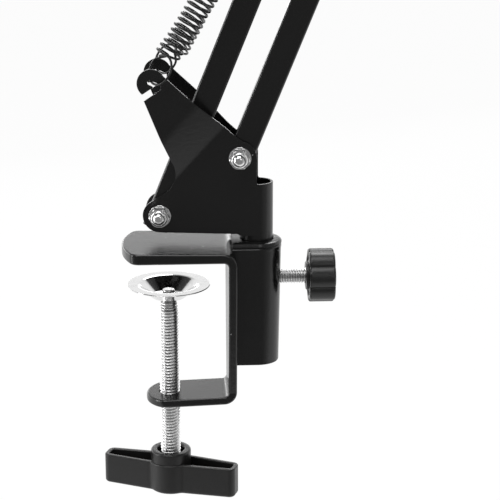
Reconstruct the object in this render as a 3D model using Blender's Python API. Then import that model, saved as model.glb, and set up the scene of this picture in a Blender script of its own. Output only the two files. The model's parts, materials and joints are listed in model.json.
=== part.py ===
"""Desk-clamp suspension arm for a microphone: a C-clamp with a sleeve, a swivelling mast bracket,
two spring-balanced parallel arms with an elbow between them, and a tilting head with a threaded stud.

The frame has +X away from the desk, +Z up, and its origin on the underside of the upper jaw,
on the clamp screw's axis. Everything above the sleeve turns with the mast, by SWIVEL at rest.
"""
import math

import bmesh
import bpy
from mathutils import Matrix, Vector

MM = 0.001
RAD = math.pi / 180

# Clearances
GAP = 0.3 * MM
OVERRUN = 2.0 * MM
ROUND = 24

# Rest pose
SWIVEL = -5.8 * RAD
LOWER_LEAN = 22.0 * RAD
UPPER_LEAN = 62.0 * RAD

# Clamp casting
JAW_TIP = -17.8 * MM
JAW_WIDTH = 35.0 * MM
JAW_THICK_TIP = 4.3 * MM
JAW_THICK_BEND = 3.7 * MM
JAW_CROWN = 38.0 * MM
JAW_CORNER = 4.0 * MM
THROAT = 57.0 * MM
BAR_INSIDE = 22.8 * MM
BAR_THICK = 3.3 * MM
BEND_INSIDE = 1.8 * MM
LOWER_JAW_TIP = -9.2 * MM
LOWER_JAW_WIDTH = 22.6 * MM
LOWER_JAW_THICK = 3.1 * MM
LOWER_JAW_CROWN = 13.0 * MM
LOWER_JAW_CORNER = 4.0 * MM
LOWER_JAW_DROOP = 2.0 * RAD
EDGE_ROUND = 0.5 * MM

# Mast and the sleeve it turns in
MAST_X = 34.4 * MM
MAST_RADIUS = 6.2 * MM
SHEET = 0.9 * MM
MAST_FOOT = -41.8 * MM
MAST_RIM = 28.0 * MM
MAST_SEAM = 0.5 * MM
SLEEVE_TOP = 5.6 * MM
SLEEVE_RADIUS = 9.5 * MM
SLEEVE_DRAFT = 0.8 * MM
SLEEVE_FLOOR = 2.0 * MM
SLEEVE_BOTTOM = MAST_FOOT - GAP - SLEEVE_FLOOR
SLEEVE_COLLAR = 3.6 * MM
SLEEVE_LIP = 1.5 * MM
SLEEVE_START = 24.6 * MM

# Lock screw
M6_RADIUS = 3.0 * MM
LOCK_DROP = 10.2 * MM
LOCK_EXPOSED = 9.6 * MM
LOCK_BOSS_RADIUS = 5.6 * MM
LOCK_BOSS_DEPTH = 1.0 * MM
LOCK_KNOB_RADIUS = 10.7 * MM
LOCK_KNOB_LENGTH = 10.8 * MM
LOCK_KNOB_LOBES = 7
LOCK_KNOB_DIP = 1.3 * MM
LOCK_KNOB_TURN = 24.2 * RAD

# Clamp screw, dish and handle
M8_RADIUS = 4.0 * MM
DISH_DROP = 12.6 * MM
DISH_RADIUS = 16.2 * MM
DISH_DEPTH = 5.6 * MM
DISH_SHEET = 0.7 * MM
DISH_RIM = 0.45 * MM
DISH_FLANGE = 4.4 * MM
DISH_LEAN_DEGREES = 40.0
DISH_BEND = 3.0 * MM
DISH_SHOULDER = 2.2 * MM
NECK_RADIUS = 2.0 * MM
NECK_LENGTH = 1.8 * MM
RIVET_RADIUS = 2.5 * MM
RIVET_HEIGHT = 2.4 * MM
RIVET_ROUND = 0.5 * MM
THREAD_LENGTH = 73.7 * MM
THREAD_LEAD = 3.5 * MM
SCREW_IN_HUB = 12.4 * MM
HUB_RADIUS = 8.0 * MM
HUB_STEP = 0.5 * MM
HUB_COUNTERBORE = 5.4 * MM
HUB_COUNTERBORE_DEPTH = 3.0 * MM
HUB_RISE = 4.6 * MM
HANDLE_LENGTH = 55.2 * MM
HANDLE_HEIGHT = 12.2 * MM
HANDLE_TIP_DEPTH = 8.3 * MM
HANDLE_HUB_DEPTH = 11.4 * MM
HANDLE_WALL = 1.8 * MM
HANDLE_FOOT = 1.0 * MM
HANDLE_CORNER = 2.6 * MM
HANDLE_FLOOR = 2.0 * MM
HANDLE_YAW = -20.3 * RAD

# Arm tubes and pivots
TUBE = 10.0 * MM
TUBE_WALL = 1.0 * MM
TUBE_CORNER = 1.2 * MM
TUBE_END = 6.0 * MM
LOWER_ARM = 330.0 * MM
UPPER_ARM = 330.0 * MM
M4_RADIUS = 2.0 * MM
NUT_FLATS = 7.0 * MM
NUT_HEIGHT = 4.4 * MM
BOLT_HEAD = 2.8 * MM
BOLT_PROUD = 1.2 * MM
WASHER_RADIUS = 4.5 * MM
WASHER_THICK = 0.8 * MM
PLATE_BOSS = 6.3 * MM

# Mast bracket, in the arm's own plane: across from the mast axis, and up
REAR_PIVOT = (-36.8 * MM, 15.4 * MM)
FRONT_PIVOT = (-6.1 * MM, 38.4 * MM)
PLATE_FOOT = 8.4 * MM
BITE_CENTRE = (-40.3 * MM, 32.3 * MM)
BITE_RADIUS = 9.7 * MM
REAR_EDGE_END = (-41.6 * MM, 61.0 * MM)
SHOULDER_RISE = 2.2 * MM
HOOK = (-38.3 * MM, 68.1 * MM)

# Ears that the springs hook into
EAR_SPREAD = 12.5 * MM
EAR_RADIUS = 5.4 * MM
EAR_SET_BACK = 0.5 * MM
POCKET_WIDTH = 1.7 * MM
POCKET_ENDS = (-2.2 * MM, 2.7 * MM)
SLOT_WIDTH = 2.3 * MM
SLOT_START = (-0.8 * MM, 2.75 * MM)
SLOT_TURN = 23.5 * RAD
SLOT_LENGTH = 12.0 * MM
FOLD_TURN = 47.5 * RAD
FOLD_INNER = 42.4 * MM
FOLD_OUTER = 57.4 * MM

# Springs
SPRING_RADIUS = 4.85 * MM
WIRE_RADIUS = 0.5 * MM
LOOP_RADIUS = 4.8 * MM
LOOP_LEAN = 3.2 * MM
LOOP_NECK = 5.6 * MM
PIN_RADIUS = 2.0 * MM
PIN_GROOVE = 1.5 * MM
PIN_GROOVE_WIDTH = 2.4 * MM
PIN_END = 2.2 * MM
PIN_AT = 165.0 * MM


# Elbow plate, from the lower rear pivot
ELBOW_LOWER = (17.2 * MM, 44.6 * MM)
ELBOW_UPPER = (28.5 * MM, 65.8 * MM)
ELBOW_HOOK = (12.0 * MM, 94.4 * MM)
ELBOW_FOLD_INNER = 8.5 * MM
ELBOW_FOLD_OUTER = 22.5 * MM

# Head: plates from the upper pivot, tilting block and threaded stud
HEAD_PIVOT = (-24.0 * MM, -4.0 * MM)
HEAD_BOSS = 7.0 * MM
BLOCK_RADIUS = 6.6 * MM
BLOCK_COLLAR = 10.5 * MM
BLOCK_COLLAR_START = 18.0 * MM
BLOCK_COLLAR_HEIGHT = 4.0 * MM
STUD_RADIUS = 7.94 * MM
STUD_LENGTH = 14.0 * MM
STUD_BORE = 2.6 * MM
SPIGOT_RADIUS = 3.0 * MM
STUD_SEAT = 0.6 * MM
SPIGOT_LENGTH = 6.0 * MM
M5_RADIUS = 2.5 * MM
WING_HUB = 4.6 * MM
WING_HEIGHT = 4.0 * MM
WING_SPAN = 11.5 * MM
WING_RISE = 9.5 * MM
WING_THICK = 2.0 * MM

# Worked out from the sizes above
PLATE_OUTSIDE = MAST_RADIUS
PLATE_INSIDE = MAST_RADIUS - SHEET
EAR_OUTSIDE = EAR_SPREAD
EAR_MIDDLE = EAR_SPREAD - SHEET / 2
BORE_RADIUS = MAST_RADIUS + GAP
DISH_FLOOR = -DISH_DROP - DISH_DEPTH
THREAD_START = DISH_FLOOR - GAP - NECK_LENGTH
THREAD_END = THREAD_START - THREAD_LENGTH
HUB_TOP = THREAD_END + SCREW_IN_HUB
HANDLE_BOTTOM = HUB_TOP - HUB_RISE - HANDLE_HEIGHT


# Scene, materials and empties

def clear_scene():
    for thing in list(bpy.data.objects):
        bpy.data.objects.remove(thing, do_unlink=True)


def finish(name, colour, roughness, metallic):
    """A plain Principled finish."""
    made = bpy.data.materials.new(name)
    made.use_nodes = True
    shader = made.node_tree.nodes["Principled BSDF"]
    shader.inputs["Base Color"].default_value = (*colour, 1.0)
    shader.inputs["Roughness"].default_value = roughness
    shader.inputs["Metallic"].default_value = metallic
    return made


def axis_empty(name, parent=None, place=(0.0, 0.0, 0.0), turn=(0.0, 0.0, 0.0)):
    """An empty on a joint's axis, which the pieces of that joint are parented to."""
    empty = bpy.data.objects.new(name, None)
    bpy.context.collection.objects.link(empty)
    empty.parent = parent
    empty.location = place
    empty.rotation_euler = turn
    return empty


def solid(name, bm, material, parent=None, place=(0.0, 0.0, 0.0), turn=(0.0, 0.0, 0.0)):
    """An object made from a bmesh whose faces are turned outwards."""
    bmesh.ops.recalc_face_normals(bm, faces=bm.faces[:])
    mesh = bpy.data.meshes.new(name)
    bm.to_mesh(mesh)
    bm.free()
    made = bpy.data.objects.new(name, mesh)
    bpy.context.collection.objects.link(made)
    made.parent = parent
    made.location = place
    made.rotation_euler = turn
    if material:
        mesh.materials.append(material)
    mesh.shade_smooth()
    mesh.set_sharp_from_angle(angle=35 * RAD)
    return made


def combine(target, others, operation):
    """Join, cut or intersect the target with other objects, which are used up."""
    for other in others:
        bpy.context.view_layer.update()
        step = target.modifiers.new(operation.title(), "BOOLEAN")
        step.operation = operation
        step.solver = "EXACT"
        step.object = other
        evaluated = target.evaluated_get(bpy.context.evaluated_depsgraph_get())
        mesh = bpy.data.meshes.new_from_object(evaluated)
        target.modifiers.remove(step)
        old = target.data
        mesh.name = old.name
        target.data = mesh
        bpy.data.meshes.remove(old)
        bpy.data.objects.remove(other, do_unlink=True)
    return target


# Outlines

def arc(centre, radius, start, end, count):
    """Points on an arc, angles in degrees."""
    points = []
    for i in range(count + 1):
        a = (start + (end - start) * i / count) * RAD
        points.append((centre[0] + radius * math.cos(a), centre[1] + radius * math.sin(a)))
    return points


def circle(centre, radius, count=ROUND):
    return arc(centre, radius, 0, 360, count)[:-1]


def stadium(start, end, half_width, count=6):
    """A straight slot with round ends."""
    lean = math.degrees(math.atan2(end[1] - start[1], end[0] - start[0]))
    near = arc(start, half_width, lean + 90, lean + 270, count)
    far = arc(end, half_width, lean - 90, lean + 90, count)
    return near + far


def rounded_rectangle(half_x, half_y, radius, count=3):
    corners = [(1, 1, 0), (-1, 1, 90), (-1, -1, 180), (1, -1, 270)]
    points = []
    for sx, sy, start in corners:
        centre = (sx * (half_x - radius), sy * (half_y - radius))
        points += arc(centre, radius, start, start + 90, count)
    return points


def tangent_hull(discs, count=6):
    """The outline round several discs, given in counter-clockwise order as (centre, radius)."""
    points = []
    total = len(discs)
    for i, (centre, radius) in enumerate(discs):
        before, after = discs[i - 1], discs[(i + 1) % total]
        start = outer_tangent(before, (centre, radius))
        end = outer_tangent((centre, radius), after)
        while end < start - 1e-6:
            end += 360
        points += arc(centre, radius, start, end, count)
    return points


def outer_tangent(first, second):
    """The angle of the outward normal of the line that touches two discs on their right-hand side."""
    (x0, y0), r0 = first
    (x1, y1), r1 = second
    reach = math.hypot(x1 - x0, y1 - y0)
    lean = math.degrees(math.atan2(y1 - y0, x1 - x0))
    return lean - 90 + math.degrees(math.asin((r1 - r0) / reach))


# Shapes

def lofted(rings, closed_ends=True):
    """A skin over rings of points that all have the same count, capped at both ends."""
    bm = bmesh.new()
    rows = [[bm.verts.new(p) for p in ring] for ring in rings]
    count = len(rings[0])
    for low, high in zip(rows, rows[1:]):
        for i in range(count):
            j = (i + 1) % count
            bm.faces.new((low[i], low[j], high[j], high[i]))
    if closed_ends:
        bm.faces.new(rows[0][::-1])
        bm.faces.new(rows[-1])
    return bm


def upright(outline, low, high):
    """An outline in X and Y, drawn up from low to high."""
    return lofted([[(x, y, z) for x, y in outline] for z in (low, high)])


def sideways(outline, low, high):
    """An outline in X and Z, drawn along Y from low to high."""
    return lofted([[(x, y, z) for x, z in outline] for y in (low, high)])


def turned(profile, count=ROUND, along="Z"):
    """A closed profile of (radius, height) pairs turned round an axis. Radius 0 is a point on it."""
    bm = bmesh.new()
    columns = []
    for radius, height in profile:
        ring = []
        for i in range(1 if radius == 0 else count):
            a = 2 * math.pi * i / count
            across, over = radius * math.cos(a), radius * math.sin(a)
            spots = {"Z": (across, over, height), "X": (height, across, over), "Y": (over, height, across)}
            ring.append(bm.verts.new(spots[along]))
        columns.append(ring)
    for first, second in zip(columns, columns[1:] + columns[:1]):
        if len(first) == 1 and len(second) == 1:
            continue
        for i in range(count):
            j = (i + 1) % count
            corners = [first[i % len(first)], first[j % len(first)]]
            corners += [second[j % len(second)], second[i % len(second)]]
            unique = list(dict.fromkeys(corners))
            bm.faces.new(unique)
    return bm


def swept_ring(centres, radius, count=6):
    """A closed wire ring through points, each given with two directions across it."""
    rings = []
    for centre, across, over in centres:
        ring = []
        for i in range(count):
            a = 2 * math.pi * i / count
            ring.append(centre + across * radius * math.cos(a) + over * radius * math.sin(a))
        rings.append(ring)
    bm = bmesh.new()
    rows = [[bm.verts.new(p) for p in ring] for ring in rings]
    for low, high in zip(rows, rows[1:] + rows[:1]):
        for i in range(count):
            j = (i + 1) % count
            bm.faces.new((low[i], low[j], high[j], high[i]))
    return bm


def cross_cylinder(name, spot, radius, reach, parent=None):
    """A cutter along Y at a spot in X and Z."""
    bm = sideways(circle(spot, radius), -reach, reach)
    return solid(name, bm, None, parent)


# Clamp

def strip_section(inner, outer, half_width):
    """One cross-section of the clamp's strip, with its four edges broken."""
    inner, outer = Vector((inner[0], 0, inner[1])), Vector((outer[0], 0, outer[1]))
    through = (outer - inner).normalized() * EDGE_ROUND
    side = Vector((0, 1, 0))
    full, less = side * half_width, side * (half_width - EDGE_ROUND)
    return [
        inner + through - full, inner - less, inner + less, inner + through + full,
        outer - through + full, outer + less, outer - less, outer - through - full,
    ]


def tip_steps(tip, crown, corner, half_width, count=4):
    """Places and half widths along the end of a jaw: a crowned end that runs into rounded corners."""
    corner_y = half_width - corner
    turn = math.asin(corner_y / (crown - corner))
    corner_x = tip + crown - (crown - corner) * math.cos(turn)
    steps = []
    for i in range(1, count + 1):
        a = turn * i / count
        steps.append((tip + crown * (1 - math.cos(a)), crown * math.sin(a)))
    for i in range(1, count + 1):
        a = turn + (90 * RAD - turn) * i / count
        steps.append((corner_x - corner * math.cos(a), corner_y + corner * math.sin(a)))
    return steps


def clamp_strip():
    """The C-shaped strip: upper jaw, bend, bar, bend and lower jaw, as one loft."""
    wide, narrow = JAW_WIDTH / 2, LOWER_JAW_WIDTH / 2
    bend_x = BAR_INSIDE - BEND_INSIDE
    outer_across = BAR_THICK + BEND_INSIDE
    rings = []

    def upper_thickness(x):
        share = (x - JAW_TIP) / (bend_x - JAW_TIP)
        return JAW_THICK_TIP + (JAW_THICK_BEND - JAW_THICK_TIP) * share

    for x, half in tip_steps(JAW_TIP, JAW_CROWN, JAW_CORNER, wide):
        rings.append(strip_section((x, 0), (x, upper_thickness(x)), half))
    outer_up = JAW_THICK_BEND + BEND_INSIDE
    for i in range(6):
        a = (90 - 18 * i) * RAD
        inner = (bend_x + BEND_INSIDE * math.cos(a), BEND_INSIDE * (math.sin(a) - 1))
        outer = (bend_x + outer_across * math.cos(a), outer_up * math.sin(a) - BEND_INSIDE)
        rings.append(strip_section(inner, outer, wide))

    floor = -THROAT - math.tan(LOWER_JAW_DROOP) * -bend_x
    turn_z = floor + BEND_INSIDE
    outer_down = LOWER_JAW_THICK + BEND_INSIDE
    for i in range(6):
        a = -18 * i * RAD
        inner = (bend_x + BEND_INSIDE * math.cos(a), turn_z + BEND_INSIDE * math.sin(a))
        outer = (bend_x + outer_across * math.cos(a), turn_z + outer_down * math.sin(a))
        rings.append(strip_section(inner, outer, narrow))
    lower_end = tip_steps(LOWER_JAW_TIP, LOWER_JAW_CROWN, LOWER_JAW_CORNER, narrow)
    for x, half in reversed(lower_end):
        top = floor - math.tan(LOWER_JAW_DROOP) * (bend_x - x)
        rings.append(strip_section((x, top), (x, top - LOWER_JAW_THICK), half))
    return lofted(rings)


def sleeve_ring(radius, z):
    """A U outline: half round away from the jaw, with flat sides that run into the bar."""
    half = arc((MAST_X, 0), radius, -90, 90, 12)
    outline = [(SLEEVE_START, -radius)] + half + [(SLEEVE_START, radius)]
    return [(x, y, z) for x, y in outline]


def clamp_frame(material):
    collar = SLEEVE_TOP - SLEEVE_COLLAR
    body = SLEEVE_RADIUS - 0.15 * MM
    rings = [
        sleeve_ring(body - SLEEVE_DRAFT, SLEEVE_BOTTOM),
        sleeve_ring(body, collar),
        sleeve_ring(SLEEVE_RADIUS, collar + 0.3 * MM),
        sleeve_ring(SLEEVE_RADIUS, SLEEVE_TOP - SLEEVE_LIP),
        sleeve_ring(SLEEVE_RADIUS - 0.45 * MM, SLEEVE_TOP - 0.45 * MM),
        sleeve_ring(SLEEVE_RADIUS - SLEEVE_LIP, SLEEVE_TOP),
    ]
    frame = solid("clamp_frame", clamp_strip(), material)
    sleeve = solid("sleeve", lofted(rings), None)
    combine(frame, [sleeve], "UNION")

    mast_bore = upright(circle((MAST_X, 0), BORE_RADIUS), MAST_FOOT - GAP, SLEEVE_TOP + OVERRUN)
    drain = upright(circle((MAST_X, 0), M4_RADIUS), SLEEVE_BOTTOM - OVERRUN, SLEEVE_TOP)
    reach = SLEEVE_RADIUS + OVERRUN
    lock_hole = turned([(0, 0), (M6_RADIUS + GAP, 0), (M6_RADIUS + GAP, reach), (0, reach)], 16, "X")
    jaw_hole = upright(circle((0, 0), M8_RADIUS + GAP), -THROAT - LOWER_JAW_THICK - OVERRUN,
                       -THROAT + OVERRUN)
    cutters = [
        solid("mast_bore", mast_bore, None),
        solid("drain", drain, None),
        solid("lock_hole", lock_hole, None, None, (MAST_X, 0, -LOCK_DROP)),
        solid("jaw_hole", jaw_hole, None),
    ]
    return combine(frame, cutters, "DIFFERENCE")


def lock_screw(steel, plastic):
    """The headless stud that bears on the mast, and the lobed knob moulded on its end."""
    start = MAST_X + MAST_RADIUS + GAP
    shoulder = MAST_X + SLEEVE_RADIUS + LOCK_EXPOSED
    socket = LOCK_KNOB_LENGTH - 3.0 * MM
    tip = M6_RADIUS - 0.7 * MM
    axis = axis_empty("lock_screw_axis", None, (0, 0, -LOCK_DROP))
    stud = [(0, start), (tip, start), (M6_RADIUS, start + 0.7 * MM), (M6_RADIUS, shoulder + socket),
            (0, shoulder + socket)]
    solid("lock_stud", turned(stud, 16, "X"), steel, axis)

    face = shoulder + LOCK_BOSS_DEPTH
    back = face + LOCK_KNOB_LENGTH
    rings = []
    chamfer = 0.6 * MM
    for x, shrink in ((face, chamfer), (face + chamfer, 0), (back - chamfer, 0), (back, chamfer)):
        ring = []
        for i in range(LOCK_KNOB_LOBES * 8):
            a = 2 * math.pi * i / (LOCK_KNOB_LOBES * 8) + LOCK_KNOB_TURN
            wave = 0.5 - 0.5 * math.cos(LOCK_KNOB_LOBES * (a - LOCK_KNOB_TURN))
            radius = LOCK_KNOB_RADIUS - LOCK_KNOB_DIP * wave ** 2 - shrink
            ring.append((x, radius * math.sin(a), radius * math.cos(a)))
        rings.append(ring)
    knob = solid("lock_knob", lofted(rings), plastic, axis)
    boss_end = face + OVERRUN
    boss = [(0, shoulder), (LOCK_BOSS_RADIUS, shoulder), (LOCK_BOSS_RADIUS, boss_end), (0, boss_end)]
    combine(knob, [solid("boss", turned(boss, 24, "X"), None, axis)], "UNION")
    bore_end = shoulder + socket + GAP
    bore_start = shoulder - OVERRUN
    radius = M6_RADIUS + GAP
    bore = [(0, bore_start), (radius, bore_start), (radius, bore_end), (0, bore_end)]
    combine(knob, [solid("bore", turned(bore, 16, "X"), None, axis)], "DIFFERENCE")


def clamp_screw(steel, chrome, plastic):
    """The M8 screw, the dish riveted loosely on its end, and the T-handle on its foot."""
    axis = axis_empty("clamp_screw_axis")
    inside = DISH_FLOOR + DISH_SHEET
    neck_hole = NECK_RADIUS + GAP
    bend_share = math.tan(DISH_LEAN_DEGREES / 2 * RAD)
    shoulder = (DISH_RADIUS - DISH_FLANGE + DISH_SHOULDER * bend_share, -DISH_DROP - DISH_SHOULDER)
    corner = DISH_RADIUS - DISH_FLANGE - (DISH_DEPTH - DISH_SHEET) / math.tan(DISH_LEAN_DEGREES * RAD)
    bend = (corner - (DISH_BEND - DISH_SHEET) * bend_share, DISH_FLOOR + DISH_BEND)
    dish = [(neck_hole, inside)]
    dish += arc(bend, DISH_BEND - DISH_SHEET, -90, DISH_LEAN_DEGREES - 90, 3)
    dish += arc(shoulder, DISH_SHOULDER, DISH_LEAN_DEGREES + 90, 90, 3)
    dish += [(DISH_RADIUS, -DISH_DROP), (DISH_RADIUS, -DISH_DROP - DISH_RIM)]
    dish += arc(shoulder, DISH_SHOULDER - DISH_SHEET, 90, DISH_LEAN_DEGREES + 90, 3)
    dish += arc(bend, DISH_BEND, DISH_LEAN_DEGREES - 90, -90, 3)
    dish += [(neck_hole, DISH_FLOOR)]
    solid("pressure_dish", turned(dish, 36), chrome, axis)

    head = inside + GAP
    neck_end = DISH_FLOOR - GAP
    screw = [
        (0, THREAD_END), (M8_RADIUS - 0.6 * MM, THREAD_END), (M8_RADIUS, THREAD_END + 0.6 * MM),
        (M8_RADIUS, THREAD_START - THREAD_LEAD), (M8_RADIUS - 0.8 * MM, THREAD_START),
        (M8_RADIUS - 1.1 * MM, neck_end), (NECK_RADIUS, neck_end), (NECK_RADIUS, head),
        (RIVET_RADIUS, head), (RIVET_RADIUS, head + RIVET_HEIGHT - RIVET_ROUND),
        (RIVET_RADIUS - RIVET_ROUND, head + RIVET_HEIGHT), (0, head + RIVET_HEIGHT),
    ]
    solid("clamp_screw", turned(screw, 20), steel, axis)
    t_handle(plastic, axis)


def handle_plan(offset):
    """The handle seen from above: deeper at the hub than at its rounded tips."""
    half, tip, hub = HANDLE_LENGTH / 2 - offset, HANDLE_TIP_DEPTH / 2 - offset, HANDLE_HUB_DEPTH / 2 - offset
    radius = max(HANDLE_CORNER - offset, 0.5 * MM)
    side = [(HUB_RADIUS, hub), (-HUB_RADIUS, hub)]
    left = arc((radius - half, tip - radius), radius, 90, 180, 3)
    left += arc((radius - half, radius - tip), radius, 180, 270, 3)
    return side + left + [(-x, -y) for x, y in side] + [(-x, -y) for x, y in left]


def t_handle(plastic, axis):
    """A hollow T-handle: a bow-tie tray with a hub tube that the screw is fixed in."""
    turn = (0, 0, HANDLE_YAW)
    wing_top = HANDLE_BOTTOM + HANDLE_HEIGHT
    rings = [[(x, y, HANDLE_BOTTOM) for x, y in handle_plan(HANDLE_FOOT)]]
    rings += [[(x, y, z) for x, y in handle_plan(0)] for z in (HANDLE_BOTTOM + HANDLE_FOOT, wing_top)]
    handle = solid("clamp_handle", lofted(rings), plastic, axis, (0, 0, 0), turn)
    hollow = upright(handle_plan(HANDLE_WALL), HANDLE_BOTTOM + HANDLE_FLOOR, wing_top + OVERRUN)
    combine(handle, [solid("hollow", hollow, None, axis, (0, 0, 0), turn)], "DIFFERENCE")
    wide = HUB_RADIUS + HUB_STEP
    hub = [(0, HANDLE_BOTTOM), (wide - HANDLE_FOOT, HANDLE_BOTTOM), (wide, HANDLE_BOTTOM + HANDLE_FOOT),
           (wide, wing_top), (HUB_RADIUS, wing_top), (HUB_RADIUS, HUB_TOP), (0, HUB_TOP)]
    combine(handle, [solid("hub", turned(hub, 28), None, axis, (0, 0, 0), turn)], "UNION")
    bore_floor = THREAD_END - GAP
    ledge = HUB_TOP - HUB_COUNTERBORE_DEPTH
    bore = [
        (0, bore_floor), (M8_RADIUS + GAP, bore_floor), (M8_RADIUS + GAP, ledge),
        (HUB_COUNTERBORE, ledge), (HUB_COUNTERBORE, HUB_TOP + OVERRUN), (0, HUB_TOP + OVERRUN),
    ]
    combine(handle, [solid("bore", turned(bore, 24), None, axis, (0, 0, 0), turn)], "DIFFERENCE")


# Sheet plates with set-out ears

def set_out(bm, normal, inner, outer):
    """Joggle a plate: past the first fold line it slopes outwards, and past the second it is flat again."""
    across = Vector((normal[0], 0, normal[1]))
    for distance in (inner, outer):
        geometry = bm.verts[:] + bm.edges[:] + bm.faces[:]
        bmesh.ops.bisect_plane(bm, geom=geometry, plane_co=across * distance, plane_no=across)
    rise = EAR_OUTSIDE - PLATE_OUTSIDE
    for vert in bm.verts:
        share = (vert.co.dot(across) - inner) / (outer - inner)
        vert.co.y += math.copysign(rise * min(max(share, 0), 1), vert.co.y)


def reshape(target, change, *values):
    """Apply a bmesh change to an object's mesh."""
    bm = bmesh.new()
    bm.from_mesh(target.data)
    change(bm, *values)
    bm.to_mesh(target.data)
    bm.free()


def pull_frame(pull_angle, mirrored):
    """Unit directions along a spring and across it, for a pull measured from upright."""
    along = (math.sin(pull_angle), math.cos(pull_angle))
    across = (along[1], -along[0]) if not mirrored else (-along[1], along[0])
    return along, across


def hook_point(hook, along, across, forward, sideways_by):
    return (hook[0] + along[0] * forward + across[0] * sideways_by,
            hook[1] + along[1] * forward + across[1] * sideways_by)


def hook_slots(hook, along, across, parent):
    """The J-shaped slot of an ear: the pocket that the loop sits in and the way into it."""
    ends = [hook_point(hook, along, across, 0, end) for end in POCKET_ENDS]
    way_in = hook_point(hook, along, across, *SLOT_START)
    forward = SLOT_START[0] - SLOT_LENGTH * math.cos(SLOT_TURN)
    way_out = hook_point(hook, along, across, forward, SLOT_START[1] - SLOT_LENGTH * math.sin(SLOT_TURN))
    reach = EAR_OUTSIDE + OVERRUN
    pocket = sideways(stadium(*ends, POCKET_WIDTH / 2), -reach, reach)
    slot = sideways(stadium(way_in, way_out, SLOT_WIDTH / 2), -reach, reach)
    return [solid("pocket", pocket, None, parent), solid("slot", slot, None, parent)]


def pivot_holes(spots, radius, parent):
    reach = EAR_OUTSIDE + OVERRUN
    return [cross_cylinder("pivot_hole", spot, radius + GAP, reach, parent) for spot in spots]


def spring_line(hook, pivot, arm_lean):
    """The pull angle and length from a hook to the pin on the tube that leans by arm_lean."""
    across = pivot[0] + PIN_AT * math.sin(arm_lean) - hook[0]
    up = pivot[1] + PIN_AT * math.cos(arm_lean) - hook[1]
    return math.atan2(across, up), math.hypot(across, up)


def base_outline():
    """The mast bracket's side view: pivot bosses, the bite in its rear edge, and the ear."""
    ear = (HOOK[0] - EAR_SET_BACK, HOOK[1] - EAR_SET_BACK)
    shoulder = (FRONT_PIVOT[0] - SHOULDER_RISE, FRONT_PIVOT[1] + PLATE_BOSS + SHOULDER_RISE)
    points = [(MAST_RADIUS + OVERRUN, MAST_RIM), (MAST_RADIUS + OVERRUN, PLATE_FOOT - OVERRUN)]
    points += [(-MAST_RADIUS, PLATE_FOOT - OVERRUN), (-MAST_RADIUS - 0.6 * MM, PLATE_FOOT)]
    points += arc(REAR_PIVOT, PLATE_BOSS, 268, 128, 8)
    points += arc(BITE_CENTRE, BITE_RADIUS, -62, 32, 8)
    points += [REAR_EDGE_END]
    points += arc(ear, EAR_RADIUS, 232, 30, 12)
    points += [shoulder]
    points += arc(FRONT_PIVOT, PLATE_BOSS, 78, 0, 6)
    points += [(FRONT_PIVOT[0] + PLATE_BOSS, MAST_RIM)]
    return points


def mast_bracket(material, swivel):
    """One sheet rolled round the mast: closed below, a U above, whose sides are the bracket plates."""
    rear = HOOK[0] - EAR_RADIUS - OVERRUN
    outer = arc((0, 0), MAST_RADIUS, -90, 90, 12)
    inner = arc((0, 0), PLATE_INSIDE, 90, -90, 12)
    channel = [(rear, -MAST_RADIUS)] + outer + [(rear, MAST_RADIUS), (rear, PLATE_INSIDE)]
    channel += inner + [(rear, -PLATE_INSIDE)]
    top = HOOK[1] + EAR_RADIUS + OVERRUN
    bracket = solid("mast_bracket", upright(channel, PLATE_FOOT - 0.8 * MM, top), material, swivel)
    side_view = sideways(base_outline(), -MAST_RADIUS - OVERRUN, MAST_RADIUS + OVERRUN)
    combine(bracket, [solid("side_view", side_view, None, swivel)], "INTERSECT")
    normal = (-math.sin(FOLD_TURN), math.cos(FOLD_TURN))
    reshape(bracket, set_out, normal, FOLD_INNER, FOLD_OUTER)

    seam = math.degrees(math.asin(MAST_SEAM / 2 / MAST_RADIUS))
    ring = arc((0, 0), MAST_RADIUS, seam - 180, 180 - seam, 28)
    ring += arc((0, 0), PLATE_INSIDE, 180 - seam, seam - 180, 28)
    mast = upright(ring, MAST_FOOT, PLATE_FOOT)
    combine(bracket, [solid("mast", mast, None, swivel)], "UNION")
    pull, _ = spring_line(HOOK, REAR_PIVOT, LOWER_LEAN)
    cutters = hook_slots(HOOK, *pull_frame(pull, False), swivel)
    cutters += pivot_holes((REAR_PIVOT, FRONT_PIVOT), M4_RADIUS, swivel)
    return combine(bracket, cutters, "DIFFERENCE")


# Fasteners

def shifted(bm, spot, y=0.0):
    bmesh.ops.translate(bm, vec=(spot[0], y, spot[1]), verts=bm.verts[:])
    return bm


def hexagon(flats):
    return circle((0, 0), flats / 2 / math.cos(30 * RAD), 6)


def bolt(spot, radius, head_flats, head, head_at, tip_at):
    """A hexagon bolt along -Y: its head's underside at head_at and its end at tip_at."""
    chamfer = 0.4 * MM
    profile_rings = [(head_at + head, hexagon(head_flats)), (head_at, hexagon(head_flats))]
    bm = bmesh.new()
    rows = []
    for y, outline in profile_rings:
        rows.append([bm.verts.new((x, y, z)) for x, z in outline])
    for y, r in ((head_at, radius), (tip_at + chamfer, radius), (tip_at, radius - chamfer)):
        rows.append([bm.verts.new((x, y, z)) for x, z in circle((0, 0), r, 12)])
    bm.faces.new(rows[0])
    bridge(bm, rows[0], rows[1])
    ledge(bm, rows[1], rows[2])
    bridge(bm, rows[2], rows[3])
    bridge(bm, rows[3], rows[4])
    bm.faces.new(rows[4])
    return shifted(bm, spot)


def bridge(bm, first, second):
    count = len(first)
    for i in range(count):
        j = (i + 1) % count
        bm.faces.new((first[i], first[j], second[j], second[i]))


def ledge(bm, six, twelve):
    """The flat ring between a hexagon and a circle of twelve points."""
    for i in range(6):
        j = (i + 1) % 6
        a, b, c = twelve[2 * i], twelve[2 * i + 1], twelve[(2 * i + 2) % 12]
        bm.faces.new((six[i], a, b))
        bm.faces.new((six[i], b, six[j]))
        bm.faces.new((six[j], b, c))


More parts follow.
